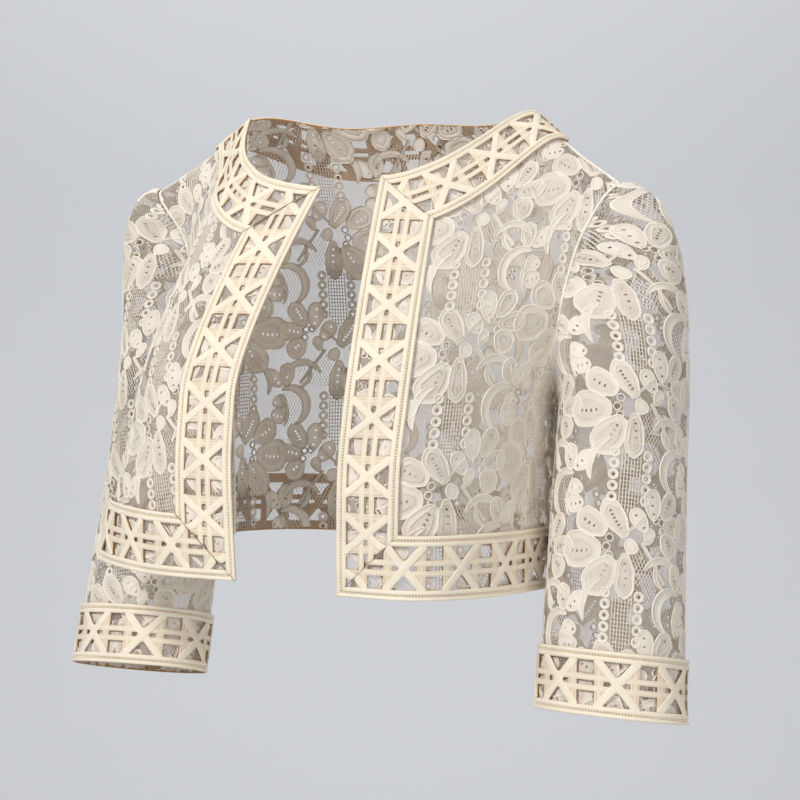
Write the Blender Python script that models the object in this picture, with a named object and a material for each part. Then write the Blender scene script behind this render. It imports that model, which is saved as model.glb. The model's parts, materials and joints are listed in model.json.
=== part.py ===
"""Cropped open-front lace jacket with elbow sleeves, worn but empty.

Metres, +Z up. The front faces -Y and +X is the wearer's left. The origin is the middle of
the neck opening at the height of the two neck points, where the jacket hangs on the shoulders.

Each lace panel is one surface laid over flat cutting lengths: s runs across the panel and
t runs up it, both measured on the cloth. The trim bands are laid out along paths on the same
flat lengths, so that they lie on the lace at an even distance.
"""
import math

import bpy
import numpy as np
from mathutils import Vector
from mathutils.geometry import delaunay_2d_cdt

# Walls and seams
LACE_WALL = 0.0010
TRIM_WALL = 0.0020
SEAM_GAP = 0.0004
BAND_GAP = 0.0006
FLAT_LIFT = 0.0020
CURVED_LIFT = 0.0025
FOLDED_LIFT = 0.0029

# Neck and shoulders: the line over the shoulder, from the centre of the neck outwards
NECK_POINT_X = 0.106
SHOULDER_POINT_X = 0.173
SHOULDER_LINE = (
    # x, y, z
    (0.000, 0.000, 0.045),
    (0.053, 0.000, 0.027),
    (0.106, 0.002, 0.000),
    (0.142, -0.004, -0.028),
    (0.173, -0.011, -0.048),
    (0.208, -0.018, -0.075),
)
FRONT_EDGE_TOP_LEFT = 0.024
FRONT_EDGE_TOP_RIGHT = -0.020
FRONT_CORNER_LEFT_T = 0.156
FRONT_CORNER_RIGHT_T = 0.152
BACK_NECK_T = 0.190
FRONT_NECK_REACH = 0.75
BACK_NECK_REACH = 0.80

# Body levels from the hem up to the armholes
HEM_Z = -0.306
LEFT_HEM_DROPS = (0.004, 0.010)
RIGHT_HEM_DROPS = (-0.002, -0.013)
CHEST_Z = -0.185
FRONT_LEFT_LEVELS = (
    # height, edge_x, edge_y, breast_x, breast_y, turn_x, turn_y, tuck_x, tuck_y, side_x, side_y
    (-0.306, 0.026, -0.130, 0.080, -0.124, 0.112, -0.080, 0.120, -0.040, 0.122, 0.000),
    (-0.265, 0.028, -0.134, 0.080, -0.128, 0.113, -0.082, 0.121, -0.040, 0.122, 0.000),
    (-0.225, 0.030, -0.136, 0.080, -0.130, 0.114, -0.082, 0.122, -0.040, 0.122, 0.000),
    (-0.185, 0.033, -0.133, 0.078, -0.127, 0.114, -0.080, 0.123, -0.040, 0.123, 0.000),
)
FRONT_RIGHT_LEVELS = (
    # height, edge_x, edge_y, breast_x, breast_y, turn_x, turn_y, tuck_x, tuck_y, side_x, side_y
    (-0.306, 0.044, -0.136, 0.118, -0.134, 0.175, -0.092, 0.150, -0.052, 0.122, 0.000),
    (-0.265, 0.045, -0.138, 0.111, -0.135, 0.164, -0.092, 0.147, -0.051, 0.122, 0.000),
    (-0.225, 0.046, -0.138, 0.105, -0.133, 0.154, -0.089, 0.143, -0.049, 0.122, 0.000),
    (-0.185, 0.046, -0.133, 0.100, -0.128, 0.146, -0.087, 0.140, -0.049, 0.123, 0.000),
)
BACK_LEVELS = (
    # height, centre_x, centre_y, blade_x, blade_y, turn_x, turn_y, side_x, side_y
    (-0.306, 0.000, 0.098, 0.065, 0.092, 0.109, 0.054, 0.122, 0.000),
    (-0.265, 0.000, 0.096, 0.065, 0.091, 0.108, 0.053, 0.122, 0.000),
    (-0.225, 0.000, 0.096, 0.065, 0.092, 0.108, 0.053, 0.122, 0.000),
    (-0.185, 0.000, 0.098, 0.065, 0.095, 0.110, 0.056, 0.123, 0.000),
)
FRONT_RISE = 0.160
FRONT_LEAN = 0.105
BACK_RISE = 0.150
BACK_LEAN = 0.190
SIDE_LEAN = 0.110
SIDE_FLARE_LEFT = 0.75
SIDE_FLARE_RIGHT = 0.95

# Armholes, in flat lengths inwards from the side seam and up from the chest line
ARMHOLE_FRONT = (
    # inwards, up
    (0.000, 0.000),
    (0.020, 0.011),
    (0.032, 0.045),
    (0.026, 0.090),
)
ARMHOLE_BACK = (
    # inwards, up
    (0.000, 0.000),
    (0.018, 0.011),
    (0.028, 0.045),
    (0.023, 0.090),
)

# Sleeves: the middle line of the arm with the half widths across and front to back
LEFT_ARM = (
    # height, x, y, half_width, half_depth, outer_drop
    (-0.196, 0.1715, 0.003, 0.0410, 0.0525, 0.000),
    (-0.260, 0.1735, -0.012, 0.0430, 0.0495, 0.001),
    (-0.325, 0.1760, -0.026, 0.0455, 0.0440, 0.002),
    (-0.392, 0.1785, -0.040, 0.0480, 0.0390, 0.003),
)
RIGHT_ARM = (
    # height, x, y, half_width, half_depth, outer_drop
    (-0.196, 0.1740, 0.009, 0.0410, 0.0525, 0.000),
    (-0.260, 0.1810, 0.005, 0.0430, 0.0495, 0.001),
    (-0.325, 0.1855, -0.009, 0.0455, 0.0440, 0.002),
    (-0.392, 0.1870, -0.027, 0.0480, 0.0390, 0.003),
)
ARMHOLE_STEP = 0.0016
GATHERS = 9
GATHER_REACH = 0.100
GATHER_DEPTH = 0.0016
GATHER_LENGTH = 0.060

# Trim band, in lengths across and along one repeat
BAND = 0.042
BORDER = 0.007
SIDE_GAP = 0.00875
REPEAT = 0.040
CROSS_START = 0.0034
CROSS_MIDDLE = 0.0109
CROSS_END = 0.0184
WINDOW_START = 0.0260
WINDOW_END = 0.0364
MITRE_MARGIN = 0.0045
END_MARGIN = 0.0035
STATION = 0.010
FINE_STATION = 0.0065
SMALLEST_GAP = 1.6e-5
BAND_PITCH = 0.0368
NECK_PITCH = 0.0390
NECK_SPARE_REPEATS = 1.56
FRONT_PHASE = -0.0052
HEM_PHASE = -0.0010
CUFF_PHASE = 0.05
CUFF_REPEATS = 7
CUFF_FRONT_REPEATS = 4

# Grid steps
GRID = 0.004
PANEL_STEPS = {"left": 0.016, "right": 0.0125, "back": 0.017}
SLEEVE_TOP_ROWS = (0.000, 0.008, 0.020, 0.036, 0.056)
SLEEVE_ROWS = 8

COLLECTION = "lace_jacket"


def unit(vectors):
    """Vectors at length one."""
    vectors = np.asarray(vectors, float)
    length = np.linalg.norm(vectors, axis=-1, keepdims=True)
    return vectors / np.maximum(length, 1e-12)


def smooth_curve(points, start=None, end=None, steps=24):
    """A dense smooth curve through points, with optional end directions."""
    points = np.asarray(points, float)
    chord = np.linalg.norm(np.diff(points, axis=0), axis=1)
    knots = np.concatenate(([0.0], np.cumsum(chord)))
    slopes = np.empty_like(points)
    for i in range(1, len(points) - 1):
        before = (points[i] - points[i - 1]) / chord[i - 1]
        after = (points[i + 1] - points[i]) / chord[i]
        slopes[i] = (before * chord[i] + after * chord[i - 1]) / (chord[i] + chord[i - 1])
    first = (points[1] - points[0]) / chord[0]
    last = (points[-1] - points[-2]) / chord[-1]
    slopes[0] = 1.5 * first - 0.5 * slopes[1] if start is None else unit(start)
    slopes[-1] = 1.5 * last - 0.5 * slopes[-2] if end is None else unit(end)
    curve = [points[0]]
    for i in range(len(points) - 1):
        span = chord[i]
        for k in range(1, steps + 1):
            q = k / steps
            curve.append(
                (2 * q**3 - 3 * q**2 + 1) * points[i]
                + (q**3 - 2 * q**2 + q) * span * slopes[i]
                + (3 * q**2 - 2 * q**3) * points[i + 1]
                + (q**3 - q**2) * span * slopes[i + 1]
            )
    return np.array(curve), knots


def arc_lengths(curve):
    """Length along a curve at each of its points."""
    return np.concatenate(([0.0], np.cumsum(np.linalg.norm(np.diff(curve, axis=0), axis=1))))


def at_length(curve, lengths):
    """Points of a curve at given lengths, run on straight past either end."""
    curve = np.asarray(curve, float)
    arcs = arc_lengths(curve)
    lengths = np.atleast_1d(np.asarray(lengths, float))
    inside = np.clip(lengths, 0.0, arcs[-1])
    found = np.stack([np.interp(inside, arcs, curve[:, k]) for k in range(curve.shape[1])], -1)
    head = unit(curve[1] - curve[0])
    tail = unit(curve[-1] - curve[-2])
    return found + np.outer(lengths - inside, 1.0) * np.where((lengths < 0)[:, None], head, tail)


def table_at(table, height):
    """One row of a table of levels at a height, by a smooth curve through the rows."""
    table = np.asarray(table, float)
    heights = table[:, 0]
    slopes = np.gradient(table[:, 1:], heights, axis=0)
    i = int(np.clip(np.searchsorted(heights, height) - 1, 0, len(heights) - 2))
    span = heights[i + 1] - heights[i]
    q = (height - heights[i]) / span
    if q < 0.0 or q > 1.0:
        base = 0 if q < 0.0 else len(heights) - 1
        return table[base, 1:] + slopes[base] * (height - heights[base])
    return (
        (2 * q**3 - 3 * q**2 + 1) * table[i, 1:]
        + (q**3 - 2 * q**2 + q) * span * slopes[i]
        + (3 * q**2 - 2 * q**3) * table[i + 1, 1:]
        + (q**3 - q**2) * span * slopes[i + 1]
    )


def hermite(p0, d0, p1, d1, q):
    """Points along a curve from p0 to p1 with the end directions d0 and d1."""
    q = np.asarray(q, float)[:, None]
    return (
        (2 * q**3 - 3 * q**2 + 1) * p0
        + (q**3 - 2 * q**2 + q) * d0
        + (3 * q**2 - 2 * q**3) * p1
        + (q**3 - q**2) * d1
    )


class Cloth:
    """A surface over flat lengths, kept as an even grid and read between its points."""

    def __init__(self, columns, s_step, s_start, t_range, zero_lengths, outward, closed=False):
        """Take dense columns of points, with the length on each at which t is zero."""
        t_start, t_end = t_range
        self.s_step = s_step
        self.s_start = s_start
        self.t_start = t_start
        self.outward = outward
        self.closed = closed
        rows = int(round((t_end - t_start) / GRID)) + 1
        t_values = t_start + GRID * np.arange(rows)
        self.grid = np.stack(
            [at_length(column, t_values + zero) for column, zero in zip(columns, zero_lengths)]
        )

    @staticmethod
    def weights(x):
        """Weights of the four points round a place on the grid, and their slopes."""
        value = np.stack([
            -0.5 * x**3 + x**2 - 0.5 * x,
            1.5 * x**3 - 2.5 * x**2 + 1.0,
            -1.5 * x**3 + 2.0 * x**2 + 0.5 * x,
            0.5 * x**3 - 0.5 * x**2,
        ])
        slope = np.stack([
            -1.5 * x**2 + 2.0 * x - 0.5,
            4.5 * x**2 - 5.0 * x,
            -4.5 * x**2 + 4.0 * x + 0.5,
            1.5 * x**2 - x,
        ])
        return value, slope

    def at(self, s, t):
        """Points and outward normals at flat places."""
        s, t = np.broadcast_arrays(np.asarray(s, float), np.asarray(t, float))
        n_s, n_t = self.grid.shape[:2]
        a = (s - self.s_start) / self.s_step
        b = (t - self.t_start) / GRID
        i = np.floor(a).astype(int)
        if not self.closed:
            i = np.clip(i, 1, n_s - 3)
        j = np.clip(np.floor(b).astype(int), 1, n_t - 3)
        ws, ds = self.weights(np.clip(a - i, -0.5, 1.5))
        wt, dt = self.weights(np.clip(b - j, -0.5, 1.5))
        point = 0.0
        along_s = 0.0
        along_t = 0.0
        for p in range(4):
            row = (i + p - 1) % n_s if self.closed else i + p - 1
            for q in range(4):
                node = self.grid[row, j + q - 1]
                point = point + (ws[p] * wt[q])[..., None] * node
                along_s = along_s + (ds[p] * wt[q])[..., None] * node
                along_t = along_t + (ws[p] * dt[q])[..., None] * node
        return point, self.outward * unit(np.cross(along_s, along_t))


def mirrored(points):
    """Points on the other side of the body."""
    return points * np.array([-1.0, 1.0, 1.0])


def shoulder_line():
    """The dense line over the left shoulder, run on a little past the middle."""
    curve, _ = smooth_curve(SHOULDER_LINE, start=(1.0, 0.0, 0.0))
    beyond = mirrored(curve[1:20])[::-1]
    return np.concatenate((beyond, curve))


class BodyHalf:
    """One front, or one half of the back, over flat lengths from its inner edge."""

    def __init__(self, levels, inner_x, front, hem_drops, flare, corner_t):
        """Lay the cloth over the levels below and the shoulder line above."""
        self.hem_drops = hem_drops
        self.corner_t = corner_t
        self.front = front
        ridge = shoulder_line()
        ridge_arcs = arc_lengths(ridge)
        self.inner_length = float(np.interp(inner_x, ridge[:, 0], ridge_arcs))
        self.neck_s = float(np.interp(NECK_POINT_X, ridge[:, 0], ridge_arcs)) - self.inner_length
        self.shoulder_s = (
            float(np.interp(SHOULDER_POINT_X, ridge[:, 0], ridge_arcs)) - self.inner_length
        )
        way = -1.0 if front else 1.0
        heights = np.linspace(HEM_Z - 0.028, CHEST_Z, 26)
        sections = []
        self.side_lengths = []
        for height in heights:
            row = table_at(levels, height)
            places = row.reshape(-1, 2)
            points = np.column_stack((places, np.full(len(places), height)))
            curve, _ = smooth_curve(points, start=(1.0, 0.0, 0.0), end=(0.0, -way, 0.0))
            sections.append(curve)
            self.side_lengths.append(arc_lengths(curve)[-1])
        self.heights = heights
        self.side_lengths = np.array(self.side_lengths)
        self.chest_s = self.side_lengths[-1]
        reach = max(self.side_lengths.max(), self.shoulder_s) + 0.016
        first = -2
        self.s_values = GRID * np.arange(first, int(math.ceil(reach / GRID)) + 3)
        lower = np.stack([at_length(curve, self.s_values) for curve in sections], 1)
        tops = at_length(ridge, self.s_values + self.inner_length)
        q = np.linspace(0.0, 1.0, 70)
        columns = []
        zeros = []
        self.top_t = []
        self.hem_t = []
        for k, s in enumerate(self.s_values):
            share = np.clip((s - self.neck_s) / (self.chest_s - self.neck_s), 0.0, 1.0)
            ease = share * share * (3.0 - 2.0 * share)
            climb = unit(lower[k, -1] - lower[k, -4])
            climb = unit(climb + np.array([flare * ease, 0.0, 0.0]))
            rise = (FRONT_RISE if front else BACK_RISE) * (1.0 - 0.45 * ease)
            lean = (FRONT_LEAN if front else BACK_LEAN) * (1.0 - ease) + SIDE_LEAN * ease
            upper = hermite(
                lower[k, -1], climb * rise, tops[k], np.array([0.0, -way * lean, 0.0]), q
            )
            past = upper[-1] + np.outer(
                np.arange(1, 12) * GRID, np.array([0.0, -way, 0.0])
            )
            column = np.concatenate((lower[k], upper[1:], past))
            arcs = arc_lengths(column)
            zero = arcs[len(heights) - 1]
            columns.append(column)
            zeros.append(zero)
            self.top_t.append(arcs[len(heights) - 1 + len(q) - 1] - zero)
            self.hem_t.append(np.interp(HEM_Z, heights, arcs[:len(heights)]) - zero)
        self.top_t = np.array(self.top_t)
        self.hem_t = np.array(self.hem_t)
        self.cloth = Cloth(columns, GRID, self.s_values[0], (-0.144, 0.300), zeros,
                           1.0 if front else -1.0)

    def shoulder_t(self, s):
        """Flat height of the shoulder seam."""
        return np.interp(s, self.s_values, self.top_t)

    def lower_t(self, s):
        """Flat height of the hem edge; a minus length lies on the wearer's right."""
        s = np.asarray(s, float)
        share = s / self.side_s(HEM_Z)
        if self.front:
            near, side = self.hem_drops
            drop = near + (side - near) * share * share
        else:
            left, right = self.hem_drops
            drop = 0.5 * (left + right) + 0.5 * (left - right) * share
        return np.interp(np.abs(s), self.s_values, self.hem_t) - drop

    def side_s(self, height):
        """Flat length out to the side seam at a height."""
        return float(np.interp(height, self.heights, self.side_lengths))

    def shoulder_up(self, s):
        """Flat direction square to the shoulder seam, pointing up past it."""
        slope = (self.shoulder_t(s + 0.002) - self.shoulder_t(s - 0.002)) / 0.004
        return unit(np.array([-slope, 1.0]))

    def neckline(self, reach):
        """Flat neckline from the inner edge to the neck point, square to both."""
        end = np.array([self.neck_s, self.shoulder_t(self.neck_s)])
        start = np.array([0.0, self.corner_t])
        up = self.shoulder_up(self.neck_s)
        span = np.linalg.norm(end - start)
        q = np.linspace(0.0, 1.0, 60)
        curve = hermite(
            start, np.array([1.0, 0.0]) * span * reach, end, up * span * reach * 1.1, q
        )
        return curve

    def armhole(self, table):
        """Flat armhole from the side seam to the shoulder point."""
        top = np.array([self.shoulder_s, self.shoulder_t(self.shoulder_s)])
        points = []
        for inwards, up in table:
            seam_s = self.chest_s + (self.shoulder_s - self.chest_s) * up / top[1]
            points.append((seam_s - inwards, up))
        points.append(top)
        curve, _ = smooth_curve(
            points, start=(-1.0, 0.15), end=self.shoulder_up(self.shoulder_s)
        )
        return curve

    def seam_s(self, t):
        """Flat length out to the side seam at a flat height."""
        s = self.chest_s
        for _ in range(5):
            low = float(np.interp(s, self.s_values, self.hem_t))
            height = CHEST_Z + (CHEST_Z - HEM_Z) * t / -low
            s = self.side_s(height)
        return s

    def side_seam(self, right=False):
        """Flat side seam from the hem to the armhole."""
        sign = -1.0 if right else 1.0
        low = float(self.lower_t(sign * self.chest_s))
        for _ in range(5):
            low = float(self.lower_t(sign * self.seam_s(low)))
        return np.array([(self.seam_s(t), t) for t in np.linspace(low, 0.0, 16)])


def resample(path, step):
    """A flat path cut into even steps no longer than step."""
    arcs = arc_lengths(path)
    count = max(1, int(math.ceil(arcs[-1] / step)))
    return at_length(path, np.linspace(0.0, arcs[-1], count + 1))


def inside(points, polygon):
    """Whether each flat point lies inside a closed flat polygon."""
    points = np.atleast_2d(points)
    found = np.zeros(len(points), bool)
    for a, b in zip(polygon, np.roll(polygon, -1, axis=0)):
        crosses = (a[1] > points[:, 1]) != (b[1] > points[:, 1])
        rise = b[1] - a[1]
        if abs(rise) < 1e-15:
            continue
        reach = (b[0] - a[0]) * (points[:, 1] - a[1]) / rise + a[0]
        found ^= crosses & (points[:, 0] < reach)
    return found


def edge_distance(points, polygon):
    """Distance of each flat point to a polygon's outline."""
    points = np.atleast_2d(points)
    best = np.full(len(points), 1e9)
    for a, b in zip(polygon, np.roll(polygon, -1, axis=0)):
        side = b - a
        share = np.clip(((points - a) @ side) / max(side @ side, 1e-18), 0.0, 1.0)
        best = np.minimum(best, np.linalg.norm(points - a - share[:, None] * side, axis=1))
    return best


def triangulate(outline, holes, inner_points=()):
    """Flat triangles inside an outline and outside its holes."""
    points = []
    edges = []
    for ring in [outline] + list(holes):
        start = len(points)
        points.extend(Vector((float(p[0]) * 1000, float(p[1]) * 1000)) for p in ring)
        edges.extend((start + k, start + (k + 1) % len(ring)) for k in range(len(ring)))
    points.extend(Vector((float(p[0]) * 1000, float(p[1]) * 1000)) for p in inner_points)
    found = delaunay_2d_cdt(points, edges, [], 0, 1e-4)
    flat = np.array([(p.x, p.y) for p in found[0]]) / 1000
    triangles = np.array([list(face) for face in found[2] if len(face) == 3])
    middles = flat[triangles].mean(axis=1)
    keep = inside(middles, np.asarray(outline))
    for hole in holes:
        keep &= ~inside(middles, np.asarray(hole))
    triangles = triangles[keep]
    used = np.unique(triangles)
    index = np.full(len(flat), -1)
    index[used] = np.arange(len(used))
    return flat[used], index[triangles]


def panel_points(outline, step):
    """Staggered inner points for a panel, clear of its outline."""
    low = outline.min(axis=0)
    high = outline.max(axis=0)
    rows = np.arange(low[1] + 0.5 * step, high[1], step * 0.87)
    points = []
    for k, t in enumerate(rows):
        shift = 0.5 * step if k % 2 else 0.0
        points.extend((s, t) for s in np.arange(low[0] + 0.5 * step + shift, high[0], step))
    points = np.array(points)
    keep = inside(points, outline) & (edge_distance(points, outline) > 0.6 * step)
    return points[keep]


def make_object(name, vertices, faces, material):
    """One mesh object in the jacket's collection."""
    mesh = bpy.data.meshes.new(name)
    mesh.from_pydata([tuple(map(float, v)) for v in vertices], [], [tuple(f) for f in faces])
    mesh.materials.append(material)
    mesh.update()
    obj = bpy.data.objects.new(name, mesh)
    bpy.data.collections[COLLECTION].objects.link(obj)
    return obj


def shell(name, middles, normals, faces, wall, material):
    """A closed wall of even thickness about a surface of faces."""
    faces = [list(face) for face in faces]
    first = faces[0]
    across = np.cross(middles[first[1]] - middles[first[0]], middles[first[2]] - middles[first[0]])
    if across @ normals[first[0]] < 0:
        faces = [face[::-1] for face in faces]
    count = len(middles)
    outer = middles + 0.5 * wall * normals
    inner = middles - 0.5 * wall * normals
    every = faces + [[v + count for v in face[::-1]] for face in faces]
    uses = {}
    for face in faces:
        for a, b in zip(face, face[1:] + face[:1]):
            uses[(a, b)] = uses.get((a, b), 0) + 1
    for a, b in uses:
        if (b, a) not in uses:
            every.append([b, a, a + count, b + count])
    return make_object(name, np.concatenate((outer, inner)), every, material)


class Side:
    """A cloth read on its own side of the body."""

    def __init__(self, cloth, flip=False, both=False):
        """Keep a cloth, whether it lies on the wearer's right, and whether it spans both."""
        self.cloth = cloth
        self.flip = flip
        self.both = both

    def at(self, s, t):
        """Points and outward normals on this side."""
        s = np.asarray(s, float)
        points, normals = self.cloth.at(np.abs(s) if self.both else s, t)
        turned = (s < 0.0) if self.both else np.full(s.shape, self.flip)
        turn = np.ones(points.shape)
        turn[..., 0] = np.where(turned, -1.0, 1.0)
        return points * turn, normals * turn


class Strip:
    """A trim band along flat paths: u runs along its middle and v across from its edge."""

    def __init__(self, legs):
        """Take legs of a side, a flat path and the way across it in flat lengths."""
        points = []
        normals = []
        places = []
        rows = np.linspace(0.0, BAND, 13)
        for side, path, across in legs:
            s = path[:, 0][:, None] + across[:, 0][:, None] * rows
            t = path[:, 1][:, None] + across[:, 1][:, None] * rows
            p, n = side.at(s, t)
            skip = 1 if points else 0
            points.append(p[skip:])
            normals.append(n[skip:])
            places.append(np.stack((s, t), -1)[skip:])
        self.points = np.concatenate(points)
        self.normals = np.concatenate(normals)
        self.places = np.concatenate(places)
        self.rows = rows
        self.u_values = arc_lengths(self.points[:, len(rows) // 2])
        self.length = float(self.u_values[-1])

    def at(self, u, v, lift):
        """Points at band places, raised off the lace, and their normals."""
        last = len(self.rows) - 1
        u = np.asarray(u, float)
        v = np.clip(np.asarray(v, float) / BAND * last, 0.0, last)
        j = np.clip(np.floor(v).astype(int), 0, last - 1)
        b = (v - j)[:, None]
        i = np.clip(np.searchsorted(self.u_values, u) - 1, 0, len(self.u_values) - 2)
        a = ((u - self.u_values[i]) / (self.u_values[i + 1] - self.u_values[i]))[:, None]

        def read(grid):
            return (
                (1 - a) * (1 - b) * grid[i, j] + a * (1 - b) * grid[i + 1, j]
                + (1 - a) * b * grid[i, j + 1] + a * b * grid[i + 1, j + 1]
            )

        normals = unit(read(self.normals))
        return read(self.points) + lift * normals, normals

    def crossing(self, test, from_start):
        """Where along each row a flat test turns positive, from one end or the other."""
        found = []
        for k in range(len(self.rows)):
            values = np.array([test(s, t) for s, t in self.places[:, k]])
            order = range(len(values) - 1)
            hits = [i for i in order if (values[i] >= 0) != (values[i + 1] >= 0)]
            if not hits:
                found.append(self.u_values[0] if from_start else self.u_values[-1])
                continue
            i = hits[0] if from_start else hits[-1]
            share = values[i] / (values[i] - values[i + 1])
            found.append(self.u_values[i] + share * (self.u_values[i + 1] - self.u_values[i]))
        return np.array(found)


def clip_polygon(polygon, keeps):
    """A flat polygon cut back to where a signed distance is positive."""
    values = [keeps(p) for p in polygon]
    result = []
    for k, p in enumerate(polygon):
        q = polygon[(k + 1) % len(polygon)]
        a = values[k]
        b = values[(k + 1) % len(polygon)]
        if a >= 0:
            result.append(p)
        if (a >= 0) != (b >= 0):
            share = a / (a - b)
            result.append((p[0] + share * (q[0] - p[0]), p[1] + share * (q[1] - p[1])))
    return result


def polygon_area(polygon):
    """Area of a flat polygon, without its sign."""
    x = np.array([p[0] for p in polygon])
    y = np.array([p[1] for p in polygon])
    return 0.5 * abs(float(x @ np.roll(y, -1) - y @ np.roll(x, -1)))


def braid_gaps(length, start, pitch):
    """The cut gaps of a band: two side triangles and two windows in each repeat."""
    scale = pitch / REPEAT
    low = BORDER
    high = BORDER + SIDE_GAP
    gaps = []
    for k in range(-1, int(length / pitch) + 2):
        base = start + k * pitch
        for near, far in ((low, high), (BAND - low, BAND - high)):
            gaps.append([
                (base + scale * CROSS_START, near),
                (base + scale * CROSS_MIDDLE, near),
                (base + scale * CROSS_END, near),
                (base + scale * CROSS_MIDDLE, far),
            ])
            gaps.append([
                (base + scale * WINDOW_START, near),
                (base + scale * WINDOW_END, near),
                (base + scale * WINDOW_END, far),
                (base + scale * WINDOW_START, far),
            ])
    return gaps


class BandEnds:
    """Where each row of a band starts and stops."""

    def __init__(self, rows, start, stop):
        """Keep the two ends as lengths along the band for each row across it."""
        self.rows = rows
        self.start = np.broadcast_to(np.asarray(start, float), rows.shape)
        self.stop = np.broadcast_to(np.asarray(stop, float), rows.shape)

    def outline(self, station):
        """Flat outline with stations along both long edges."""
        near_count = max(1, int(round((self.stop[0] - self.start[0]) / station)))
        far_count = max(1, int(round((self.stop[-1] - self.start[-1]) / station)))
        near = np.linspace(self.start[0], self.stop[0], near_count + 1)
        far = np.linspace(self.start[-1], self.stop[-1], far_count + 1)
        picks = (3, 6, 9)
        ring = [(u, 0.0) for u in near]
        ring.extend((self.stop[k], self.rows[k]) for k in picks)
        ring.extend((u, BAND) for u in far[::-1])
        ring.extend((self.start[k], self.rows[k]) for k in picks[::-1])
        return ring

    @staticmethod
    def room(ends):
        """Margin kept solid beside an end, and how much a slant lengthens it."""
        slant = (ends[-1] - ends[0]) / BAND
        margin = MITRE_MARGIN if abs(slant) > 0.5 else END_MARGIN
        return margin * math.hypot(1.0, slant)

    def trim(self, gap):
        """A gap cut back from both ends, or None where too little is left."""
        start_room = self.room(self.start)
        stop_room = self.room(self.stop)
        gap = clip_polygon(
            gap, lambda p: p[0] - float(np.interp(p[1], self.rows, self.start)) - start_room
        )
        if len(gap) > 2:
            gap = clip_polygon(
                gap, lambda p: float(np.interp(p[1], self.rows, self.stop)) - p[0] - stop_room
            )
        if len(gap) < 3 or polygon_area(gap) < SMALLEST_GAP:
            return None
        return gap


def merge_close(ring, distance=0.0006):
    """A ring without points that nearly meet."""
    kept = []
    for p in ring:
        if all(math.dist(p, q) > distance for q in kept):
            kept.append(p)
    return kept


def make_band(name, strip, ends, phase, lift, material, pitch, station=STATION):
    """A cut trim band with its end pieces solid; returns how many gaps it has."""
    gaps = []
    for gap in braid_gaps(strip.length, phase, pitch):
        kept = ends.trim(gap)
        if kept is not None:
            gaps.append(merge_close(kept))
    flat, triangles = triangulate(ends.outline(station), gaps)
    middles, normals = strip.at(flat[:, 0], flat[:, 1], lift)
    shell(name, middles, normals, triangles, TRIM_WALL, material)
    return len(gaps)


def lace_material():
    """Ivory lace."""
    material = bpy.data.materials.new("ivory_lace")
    material.use_nodes = True
    shader = material.node_tree.nodes["Principled BSDF"]
    shader.inputs["Base Color"].default_value = (0.80, 0.74, 0.64, 1.0)
    shader.inputs["Roughness"].default_value = 0.85
    return material


def trim_material():
    """Warm cream braid."""
    material = bpy.data.materials.new("cream_braid")
    material.use_nodes = True
    shader = material.node_tree.nodes["Principled BSDF"]
    shader.inputs["Base Color"].default_value = (0.86, 0.76, 0.60, 1.0)
    shader.inputs["Roughness"].default_value = 0.75
    return material


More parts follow.
